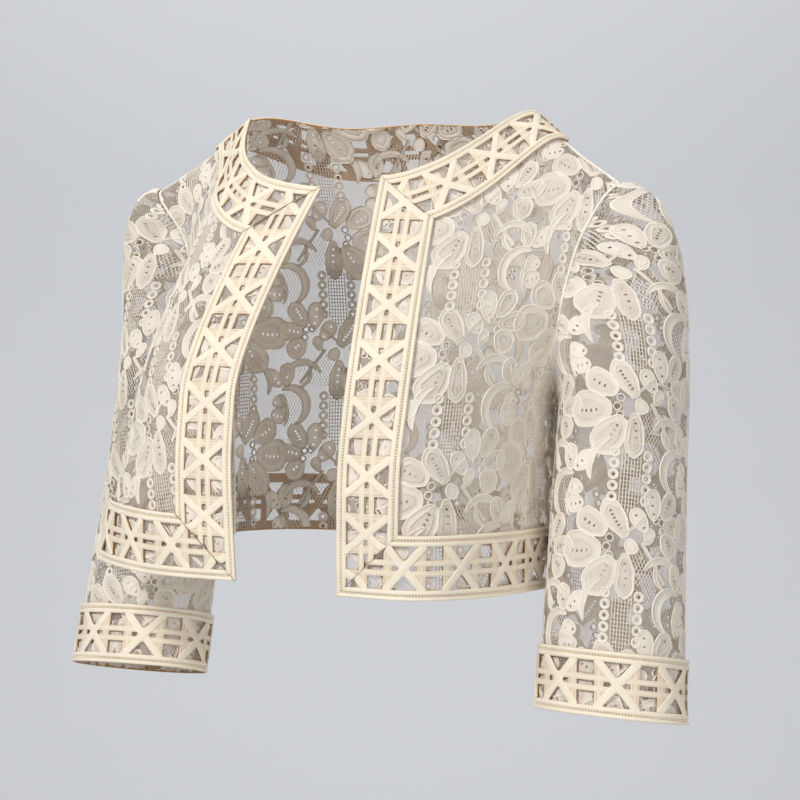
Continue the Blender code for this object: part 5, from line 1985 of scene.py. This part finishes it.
@dataclass(frozen=True)
class BraidDesign:
    """One repeat of the cutwork braid, in lengths along and across it."""

    bar: float = 4.0 * MM
    bar_offset: float = 3.35 * MM
    cross_bar: float = 6.4 * MM
    arm: float = 5.4 * MM
    arm_reach: float = 13.0 * MM
    floor: float = -1.0 * MM
    first_bar: float = -0.1 * MM
    second_bar: float = 22.2 * MM
    cross: float = 10.9 * MM
    bar_top: float = 0.35 * MM
    cross_bar_top: float = 0.25 * MM
    arm_top: float = 0.7 * MM
    border_top: float = 1.0 * MM
    groove: float = -0.3 * MM
    stitch_pitch: float = 1.9 * MM

    def profile(self, top: float) -> list[tuple[float, float]]:
        """Shape a cord with a flat underside and a rounded top.

        Args:
            top: Height of its top.

        Returns:
            Pairs of place across and height, all the way round.
        """
        rise = top - self.floor
        side = [
            (0.9, 0.0), (1.0, 0.45), (0.93, 0.78), (0.74, 1.0), (0.45, 0.84), (0.2, 0.97),
        ]
        left = [(-a, self.floor + h * rise) for a, h in side]
        right = [(a, self.floor + h * rise) for a, h in side[::-1]]
        return left + right + left[:1]

    def unit_cell(self) -> Flat:
        """Draw the bars, cross bars and crossed arms of one repeat."""
        middle = 0.5 * BAND
        parts = []
        for side in (-1.0, 1.0):
            u = np.linspace(0.0, REPEAT, 13)
            path = np.column_stack((u, np.full(len(u), middle + side * self.bar_offset)))
            parts.append(ribbon(path, self.bar, self.profile(self.bar_top)))
        for u in (self.first_bar, self.second_bar):
            v = np.linspace(0.6 * BORDER, BAND - 0.6 * BORDER, 12)
            path = np.column_stack((np.full(len(v), u), v))
            parts.append(ribbon(path, self.cross_bar, self.profile(self.cross_bar_top)))
        slope = SIDE_GAP / 0.0075
        for side, lift in ((-1.0, 0.0), (1.0, 0.12 * MM)):
            u = np.linspace(-self.arm_reach, self.arm_reach, 13)
            path = np.column_stack((self.cross + u, middle + side * slope * u))
            path[:, 1] = path[:, 1].clip(0.4 * BORDER, BAND - 0.4 * BORDER)
            parts.append(ribbon(path, self.arm, self.profile(self.arm_top + lift)))
        return Flat.joined(parts)

    def border(self, length: float, edge: Edge) -> Flat:
        """Draw a border of two cords with a groove for stitches between them.

        Args:
            length: Length of the band.
            edge: The edge that it lies along.

        Returns:
            The flat border.
        """
        profile = []
        for v, height in (
            (0.2, self.floor), (0.0, 0.4 * self.floor), (0.15, 0.55 * self.border_top),
            (0.8, self.border_top), (1.7, self.border_top), (2.5, 0.5 * self.border_top),
            (2.8, self.groove), (3.6, self.groove), (3.9, 0.5 * self.border_top),
            (4.5, 0.9 * self.border_top), (6.0, 0.9 * self.border_top),
            (6.8, 0.4 * self.border_top), (7.0, 0.4 * self.floor), (6.8, self.floor),
            (0.2, self.floor),
        ):
            profile.append((v * MM, height))
        u = np.arange(-4 * MM, length + 4 * MM, 3.0 * MM)
        rows = []
        for v, height in profile:
            place = v if edge is Edge.NEAR else BAND - v
            rows.append(np.column_stack((u, np.full(len(u), place), np.full(len(u), height))))
        return loft(rows[::-1] if edge is Edge.NEAR else rows, False)

    def stitch(self) -> Flat:
        """Draw one raised stitch along u."""
        half = np.array([0.72, 0.42]) * MM
        base = np.array([(-1, -1), (1, -1), (1, 1), (-1, 1)]) * half
        rows = [
            np.column_stack((base, np.full(4, self.groove - 0.1 * MM))),
            np.column_stack((base * 0.95, np.full(4, 0.5 * MM))),
            np.column_stack((base * 0.45, np.full(4, 0.75 * MM))),
        ]
        lid = Flat(rows[-1], NO_TRIS, np.array([(0, 1, 2, 3)]))
        return Flat.joined((loft(rows, True), lid))


@dataclass
class Braid:
    """One run of braid along a strip of the jacket."""

    name: str
    strip: Strip
    start: Array
    stop: Array
    phase: float
    pitch: float
    lift: float

    def build(
        self, design: BraidDesign, lattice: LatticeTree, material: Material,
    ) -> bpy.types.Object:
        """Build the run.

        Args:
            design: The braid.
            lattice: Lays its repeat and its stitches out.
            material: The finish.

        Returns:
            The finished run.
        """
        rows = self.strip.rows
        start = np.broadcast_to(np.asarray(self.start, float), rows.shape)
        stop = np.broadcast_to(np.asarray(self.stop, float), rows.shape)
        low, high = float(start.min()), float(stop.max())
        first = math.floor((low - self.phase) / self.pitch) - 1
        last = math.ceil((high - self.phase) / self.pitch) + 1
        count = last - first
        stretch = self.pitch / REPEAT
        cells = lattice.laid_out(design.unit_cell(), count, 1, self.pitch, 1.0, 0.0, stretch,
                                 material)
        middle = self.phase + (first + 0.5 * (count - 1)) * self.pitch
        parts = [cells.placed(middle, 0.0)]
        for edge in Edge:
            parts.append(design.border(high - low, edge).placed(low, 0.0))
        number = int((high - low) / design.stitch_pitch)
        stitches = lattice.laid_out(design.stitch(), number, 2, design.stitch_pitch,
                                    BAND - 6.4 * MM, 0.0, 1.0, material)
        parts.append(stitches.placed(0.5 * (low + high), 0.5 * BAND))
        flat = Flat.joined(parts)
        v = flat.points[:, 1].clip(0.0, BAND)
        near = np.interp(v, rows, start)
        far = np.interp(v, rows, stop)
        flat.points[:, 0] = flat.points[:, 0].clip(near, far)
        flat = self.without_slivers(flat)
        points, _ = self.strip.at(flat.points[:, 0], flat.points[:, 1],
                                  self.lift + flat.points[:, 2:])
        if handedness(self.strip, 0.5 * self.strip.length, 0.5 * BAND) < 0.0:
            flat = Flat(flat.points, flat.tris[:, ::-1], flat.quads[:, ::-1])
        # The relief sets the painted shade: low parts of the braid are coloured brown.
        span = design.border_top - design.floor
        relief = np.clip((flat.points[:, 2] - design.floor) / span, 0.0, 1.0)
        return finished(self.name, points, flat, material, relief)

    @staticmethod
    def without_slivers(flat: Flat) -> Flat:
        """Drop the faces that the clipped ends have flattened to nothing."""
        corners = flat.points[flat.quads]
        a = corners[:, 2] - corners[:, 0]
        b = corners[:, 3] - corners[:, 1]
        area = 0.5 * np.linalg.norm(np.cross(a, b), axis=1)
        return Flat(flat.points, flat.tris, flat.quads[area > 1e-9]).compact()


class SleeveSide(Side):
    """A sleeve read on its own side of the body."""

    def outline(self, tuck: float) -> Array:
        """Draw the flat cut of the sleeve, with its seam under the arm.

        Args:
            tuck: How far it stops above the cuff's edge.

        Returns:
            Corners of the flat outline.
        """
        half = 0.5 * self.cloth.round
        s = np.linspace(-half, half, 90)
        lower = np.column_stack((s, self.cloth.cuff_t(s) + tuck))
        upper = np.column_stack((s, self.cloth.top_t(s)))[::-1]
        return np.concatenate((lower, upper))


@dataclass
class Seam:
    """A corded seam along a line of the jacket."""

    name: str
    points: Array
    radius: float = 0.9 * MM

    def build(self, material: Material) -> bpy.types.Object:
        """Build the cord as a closed tube.

        Args:
            material: The finish.

        Returns:
            The finished cord.
        """
        path = resample(self.points, 0.0035)
        run = unit(np.gradient(path, axis=0))
        side = unit(np.cross(run, np.array([0.0, 0.3, 1.0])))
        up = np.cross(side, run)
        angles = np.linspace(0.0, 2.0 * math.pi, 8, endpoint=False)
        sides = len(angles)
        rings = [
            path + self.radius * (math.cos(a) * side + math.sin(a) * up) for a in angles
        ]
        points = np.stack(rings, axis=1).reshape(-1, 3)
        quads = []
        for i in range(len(path) - 1):
            for k in range(sides):
                m = (k + 1) % sides
                quads.append((i * sides + k, (i + 1) * sides + k, (i + 1) * sides + m,
                              i * sides + m))
        caps = []
        for base, order in ((0, 1), ((len(path) - 1) * sides, -1)):
            for k in range(1, sides - 1):
                caps.append((base, base + k, base + k + 1)[::order])
        arcs = arc_lengths(path)
        lengths = np.column_stack((np.repeat(arcs, sides), np.tile(angles * self.radius, len(path)),
                                   np.zeros(len(points))))
        flat = Flat(lengths, np.array(caps), np.array(quads))
        return finished(self.name, points, flat, material, np.full(len(points), 0.8))


def lifted(side: Side, path: Array) -> Array:
    """Lay a flat path on the cloth, raised to the middle of a seam's cord.

    Args:
        side: The cloth.
        path: The flat path.

    Returns:
        The points in space.
    """
    points, normals = side.at(path[:, 0], path[:, 1])
    return points + SEAM_LIFT * normals


def mitre_line(corner_t: float, inner: Array) -> Test:
    """Draw a mitre from a corner of the front edge to where the braids' inner edges meet.

    Args:
        corner_t: Flat height of the corner.
        inner: Flat path of the other braid's inner edge.

    Returns:
        The signed distance above the mitre.
    """
    order = np.argsort(inner[:, 0])
    rise = float(np.interp(BAND, inner[order, 0], inner[order, 1])) - corner_t
    length = math.hypot(BAND, rise)
    return lambda s, t: (BAND * (t - corner_t) - rise * s) / length


def hem_strip(side: Side, half: BodyHalf, s: Array) -> Strip:
    """Lay a strip along a hem.

    Args:
        side: The cloth.
        half: The front or back.
        s: Flat lengths along its hem.

    Returns:
        The strip.
    """
    path = np.column_stack((s, half.lower_t(s)))
    return Strip([(side, path, -across_right(path))])


@dataclass
class Jacket:
    """The whole jacket: its cut first, then each piece."""

    design: LaceDesign = field(default_factory=LaceDesign)
    braid: BraidDesign = field(default_factory=BraidDesign)
    halves: dict[str, BodyHalf] = field(init=False, default_factory=dict)
    sides: dict[str, Side] = field(init=False, default_factory=dict)
    necks: dict[str, Array] = field(init=False, default_factory=dict)
    sleeves: dict[str, SleeveSide] = field(init=False, default_factory=dict)

    def __post_init__(self) -> None:
        """Draw the cut of every piece."""
        self.halves["left"] = BodyHalf(FRONT_LEFT_LEVELS, FRONT_EDGE_TOP_LEFT, True,
                                       LEFT_HEM_DROPS, SIDE_FLARE_LEFT, FRONT_CORNER_LEFT_T)
        self.halves["right"] = BodyHalf(FRONT_RIGHT_LEVELS, FRONT_EDGE_TOP_RIGHT, True,
                                        RIGHT_HEM_DROPS, SIDE_FLARE_RIGHT, FRONT_CORNER_RIGHT_T)
        side_drops = (LEFT_HEM_DROPS[1], RIGHT_HEM_DROPS[1])
        self.halves["back"] = BodyHalf(BACK_LEVELS, 0.0, False, side_drops, SIDE_FLARE_LEFT,
                                       BACK_NECK_T)
        for name, flip in (("left", False), ("right", True)):
            self.sides[name] = Side(self.halves[name].cloth, flip)
            self.necks[name] = self.halves[name].neckline(FRONT_NECK_REACH)
        self.sides["back"] = Side(self.halves["back"].cloth, both=True)
        self.necks["back"] = self.halves["back"].neckline(BACK_NECK_REACH)
        back_hole = self.halves["back"].armhole(ARMHOLE_BACK)[::-1]
        back_points, _ = Side(self.halves["back"].cloth).at(back_hole[:, 0], back_hole[:, 1])
        for name, arm in (("left", LEFT_ARM), ("right", RIGHT_ARM)):
            hole = self.halves[name].armhole(ARMHOLE_FRONT)[::-1]
            front_points, _ = Side(self.halves[name].cloth).at(hole[:, 0], hole[:, 1])
            self.sleeves[name] = SleeveSide(Sleeve(arm, front_points, back_points),
                                            name == "right")

    @staticmethod
    def tucked(outline: Array, half: BodyHalf) -> Array:
        """Stop the lace a little above the hem, so that the braid hides its cut threads.

        Args:
            outline: The flat cut.
            half: The front or back that it is cut for.

        Returns:
            The same cut with its hem raised.
        """
        hem = half.lower_t(outline[:, 0]) + LACE_TUCK
        return np.column_stack((outline[:, 0], np.maximum(outline[:, 1], hem)))

    def panels(self) -> list[LacePanel]:
        """List the lace panels with their cuts."""
        found = []
        for name in ("left", "right"):
            half = self.halves[name]
            outline = front_outline(half, self.necks[name])
            bound = self.tucked(outline, half)
            bound[:, 0] = np.maximum(bound[:, 0], LACE_TUCK)
            found.append(LacePanel("front_" + name, self.sides[name], outline, bound,
                                   GRAINS["front_" + name]))
        half = self.halves["back"]
        outline = back_outline(half, self.necks["back"])
        found.append(LacePanel("back", self.sides["back"], outline,
                               self.tucked(outline, half), GRAINS["back"]))
        for name in ("left", "right"):
            side = self.sleeves[name]
            found.append(LacePanel("sleeve_" + name, side, side.outline(0.0),
                                   side.outline(LACE_TUCK), GRAINS["sleeve_" + name]))
        return found

    def upper_mitre(self, name: str) -> Test:
        """Draw the mitre between a front's braid and the neck's.

        Args:
            name: left or right.

        Returns:
            The signed distance above it.
        """
        neck = self.necks[name]
        return mitre_line(self.halves[name].corner_t, neck + BAND * across_right(neck))

    def lower_mitre(self, name: str) -> Test:
        """Draw the mitre between a front's braid and the hem's.

        Args:
            name: left or right.

        Returns:
            The signed distance above it.
        """
        s = np.linspace(0.0, 0.1, 60)
        path = np.column_stack((s, self.halves[name].lower_t(s)))
        return mitre_line(path[0, 1], path - BAND * across_right(path))

    def neck_braid(self) -> Braid:
        """Lay the braid round the neck, from the left front corner to the right one."""
        left, back, right = (self.necks[name] for name in ("left", "back", "right"))
        cloth = self.halves["back"].cloth
        strip = Strip([
            (self.sides["left"], left, across_right(left)),
            (Side(cloth), back[::-1], across_right(back)[::-1]),
            (Side(cloth, flip=True), back, across_right(back)),
            (self.sides["right"], right[::-1], across_right(right)[::-1]),
        ])

        left, right = self.upper_mitre("left"), self.upper_mitre("right")
        start = strip.crossing(lambda s, t: left(s, t) - HALF_GAP, True)
        stop = strip.crossing(lambda s, t: right(s, t) - HALF_GAP, False)
        count = round(strip.length / NECK_PITCH - NECK_SPARE_REPEATS)
        pitch = strip.length / (count + NECK_SPARE_REPEATS)
        return Braid("neck_band", strip, start, stop, 0.0, pitch, CURVED_LIFT)

    def front_braids(self, name: str) -> list[Braid]:
        """Lay the braids down one front and along its hem.

        Args:
            name: left or right.

        Returns:
            The two runs.
        """
        half = self.halves[name]
        side = self.sides[name]
        low = float(half.lower_t(0.0))
        path = np.column_stack((np.zeros(80), np.linspace(low, half.corner_t, 80)))
        strip = Strip([(side, path, np.tile((1.0, 0.0), (80, 1)))])
        upper, lower = self.upper_mitre(name), self.lower_mitre(name)
        start = strip.crossing(lambda s, t: lower(s, t) - HALF_GAP, True)
        stop = strip.crossing(lambda s, t: -upper(s, t) - HALF_GAP, False)
        down = Braid("front_band_" + name, strip, start, stop, FRONT_PHASE, BAND_PITCH,
                     FLAT_LIFT)
        strip = hem_strip(side, half, np.linspace(0.0, half.side_s(HEM_Z) + 0.010, 90))
        seam = half.side_seam()
        start = strip.crossing(lambda s, t: -lower(s, t) - HALF_GAP, True)
        stop = strip.crossing(
            lambda s, t: float(np.interp(t, seam[:, 1], seam[:, 0])) - s - HALF_GAP, False,
        )
        along = Braid("hem_band_" + name, strip, start, stop, HEM_PHASE, BAND_PITCH,
                      FOLDED_LIFT)
        return [down, along]

    def back_braid(self) -> Braid:
        """Lay the braid along the hem of the back."""
        half = self.halves["back"]
        reach = half.side_s(HEM_Z) + 0.008
        strip = hem_strip(self.sides["back"], half, np.linspace(-reach, reach, 160))
        seams = (half.side_seam(True), half.side_seam())

        def within(s: float, t: float) -> float:
            """Return the signed distance inside the side seams."""
            seam = seams[0] if s < 0.0 else seams[1]
            return float(np.interp(t, seam[:, 1], seam[:, 0])) - abs(s) - HALF_GAP

        start = strip.crossing(within, True)
        stop = strip.crossing(within, False)
        width = float(stop[6] - start[6])
        return Braid("hem_band_back", strip, start, stop, float(start[6]),
                     width / round(width / BAND_PITCH), FLAT_LIFT)

    def cuff_braids(self, name: str) -> list[Braid]:
        """Lay the braid round one cuff in its two lengths.

        Args:
            name: left or right.

        Returns:
            The two runs.
        """
        sleeve = self.sleeves[name].cloth
        s = np.linspace(0.0, sleeve.round, 161)
        path = np.column_stack((s, sleeve.cuff_t(s)))
        tube = Side(sleeve.cloth, name == "right")
        strip = Strip([(tube, path, np.tile((0.0, 1.0), (161, 1)))])
        pitch = strip.length / CUFF_REPEATS
        split = CUFF_FRONT_REPEATS * pitch
        return [
            Braid("cuff_band_" + name + "_" + part, strip, start + HALF_GAP, stop - HALF_GAP,
                  CUFF_PHASE * pitch, pitch, CURVED_LIFT)
            for part, start, stop in (("front", 0.0, split), ("back", split, strip.length))
        ]

    def seams(self) -> list[Seam]:
        """List the corded seams at the armholes, shoulders and sides."""
        found = []
        back = self.halves["back"]
        for name in ("left", "right"):
            front = self.halves[name]
            side = self.sides[name]
            front_hole = lifted(side, front.armhole(ARMHOLE_FRONT))
            back_hole = lifted(Side(back.cloth, side.flip), back.armhole(ARMHOLE_BACK))
            ring = np.concatenate((front_hole, back_hole[::-1][1:]))
            found.append(Seam("armhole_seam_" + name, ring))
            s = np.linspace(front.neck_s, front.shoulder_s, 20)
            shoulder = lifted(side, np.column_stack((s, front.shoulder_t(s))))
            found.append(Seam("shoulder_seam_" + name, shoulder))
            found.append(Seam("side_seam_" + name, lifted(side, front.side_seam())))
        return found

    def build(self) -> None:
        """Build every piece and hide the part that it replaces."""
        lace = LACE_FINISH_AND_SHADE.material()
        cream = BRAID_FINISH_AND_SHADE.material()
        lattice = LatticeTree()
        tile = self.design.tile()
        LOG.info("one repeat of lace: %d triangles", len(tile.tris) + 2 * len(tile.quads))
        runs = [self.neck_braid(), *self.front_braids("left"), *self.front_braids("right"),
                self.back_braid(), *self.cuff_braids("left"), *self.cuff_braids("right")]
        for run in runs:
            piece = run.build(self.braid, lattice, cream)
            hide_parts(run.name)
        for seam in self.seams():
            seam.build(lace)
        for panel in self.panels():
            piece = panel.build(self.design, tile, lattice, lace)
            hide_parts(panel.name)
            panel.size()
            panel.area()


@dataclass(frozen=True)
class Studio:
    """A pale floor, soft light and a camera at the photograph's viewing angle."""

    azimuth: float = 25.0
    elevation: float = 4.0
    distance: float = 1.5
    focal_pixels: float = 2180.0
    picture: float = 800.0
    origin_pixel: tuple[float, float] = (388.0, 119.0)
    sensor: float = 36.0
    floor_z: float = -1.15
    paper_colour: Colour = (0.64, 0.65, 0.67, 1.0)
    sky_colour: Colour = (0.95, 0.97, 1.0, 1.0)
    sky_strength: float = 0.26
    floor_side: float = 6.0
    floor_near: float = -4.0
    curve_start: float = 2.2
    curve_radius: float = 1.2
    wall_top: float = 5.0

    LIGHTS = (
        # name, x, y, z, aim x, aim y, aim z, size, power
        ("key", -0.75, -2.2, 1.5, 0.0, 0.0, -0.2, 0.9, 60.0),
        ("fill", 2.0, -1.6, 0.2, 0.0, 0.0, -0.2, 1.8, 24.0),
        ("rim", 0.5, 1.8, 1.5, 0.0, 0.0, -0.2, 1.4, 5.0),
        ("backdrop", -0.68, 1.45, 2.2, -1.3, 2.9, -0.1, 3.0, 58.0),
    )

    def frame_axes(self) -> tuple[Vector, Vector, Vector]:
        """Return the camera's directions forward, right and up."""
        a = math.radians(self.azimuth)
        e = math.radians(self.elevation)
        forward = Vector((-math.sin(a) * math.cos(e), math.cos(a) * math.cos(e), -math.sin(e)))
        right = Vector((math.cos(a), math.sin(a), 0.0))
        return forward, right, right.cross(forward)

    def camera(self) -> None:
        """Set up the camera."""
        forward, right, up = self.frame_axes()
        half = 0.5 * self.picture
        across = (self.origin_pixel[0] - half) / self.focal_pixels
        down = (self.origin_pixel[1] - half) / self.focal_pixels
        place = -self.distance * (forward + right * across - up * down)
        data = bpy.data.cameras.new("camera")
        data.sensor_width = self.sensor
        data.lens = self.sensor * self.focal_pixels / self.picture
        camera = bpy.data.objects.new("camera", data)
        camera.location = place
        camera.rotation_mode = "QUATERNION"
        camera.rotation_quaternion = (-forward).to_track_quat("Z", "Y")
        bpy.context.scene.collection.objects.link(camera)
        bpy.context.scene.camera = camera

    def lights(self) -> None:
        """Set up the soft lights and the room."""
        for name, x, y, z, aim_x, aim_y, aim_z, size, power in self.LIGHTS:
            data = bpy.data.lights.new(name, "AREA")
            data.size = size
            data.energy = power
            light = bpy.data.objects.new(name, data)
            light.location = (x, y, z)
            light.rotation_mode = "QUATERNION"
            back = light.location - Vector((aim_x, aim_y, aim_z))
            light.rotation_quaternion = back.to_track_quat("Z", "Y")
            bpy.context.scene.collection.objects.link(light)
        world = bpy.data.worlds.new("room")
        world.use_nodes = True
        NodeMaker(world.node_tree).fill(world.node_tree.nodes["Background"], {
            "Color": self.sky_colour, "Strength": self.sky_strength,
        })
        bpy.context.scene.world = world
        bpy.context.scene.view_settings.view_transform = "Standard"

    def floor(self) -> None:
        """Set up the floor, which curves up into a backdrop."""
        profile = [(self.floor_near, 0.0), (self.curve_start, 0.0)]
        for k in range(1, 9):
            turn = math.radians(90.0 * k / 8)
            profile.append((self.curve_start + self.curve_radius * math.sin(turn),
                            self.curve_radius * (1.0 - math.cos(turn))))
        profile.append((self.curve_start + self.curve_radius, self.wall_top))
        points = [(x, y, self.floor_z + z) for x in (-self.floor_side, self.floor_side)
                  for y, z in profile]
        n = len(profile)
        faces = [(k, n + k, n + k + 1, k + 1) for k in range(n - 1)]
        mesh = bpy.data.meshes.new("floor")
        mesh.from_pydata(points, [], faces)
        mesh.polygons.foreach_set("use_smooth", np.ones(len(faces), bool))
        mesh.materials.append(self.paper())
        floor = bpy.data.objects.new("floor", mesh)
        floor.rotation_euler = (0.0, 0.0, math.radians(self.azimuth))
        bpy.context.scene.collection.objects.link(floor)

    def paper(self) -> Material:
        """Build the matt paper of the floor."""
        material = bpy.data.materials.new("studio_paper")
        material.use_nodes = True
        NodeMaker(material.node_tree).fill(material.node_tree.nodes["Principled BSDF"], {
            "Roughness": 0.9, "Specular IOR Level": 0.2, "Base Color": self.paper_colour,
        })
        return material

    def build(self) -> None:
        """Set up the whole studio."""
        self.camera()
        self.lights()
        self.floor()


def main() -> None:
    """Build the jacket and the studio."""
    logging.basicConfig(level=logging.INFO, format="%(name)s: %(message)s")
    Jacket().build()
    Studio().build()


if __name__ == "__main__":
    main()
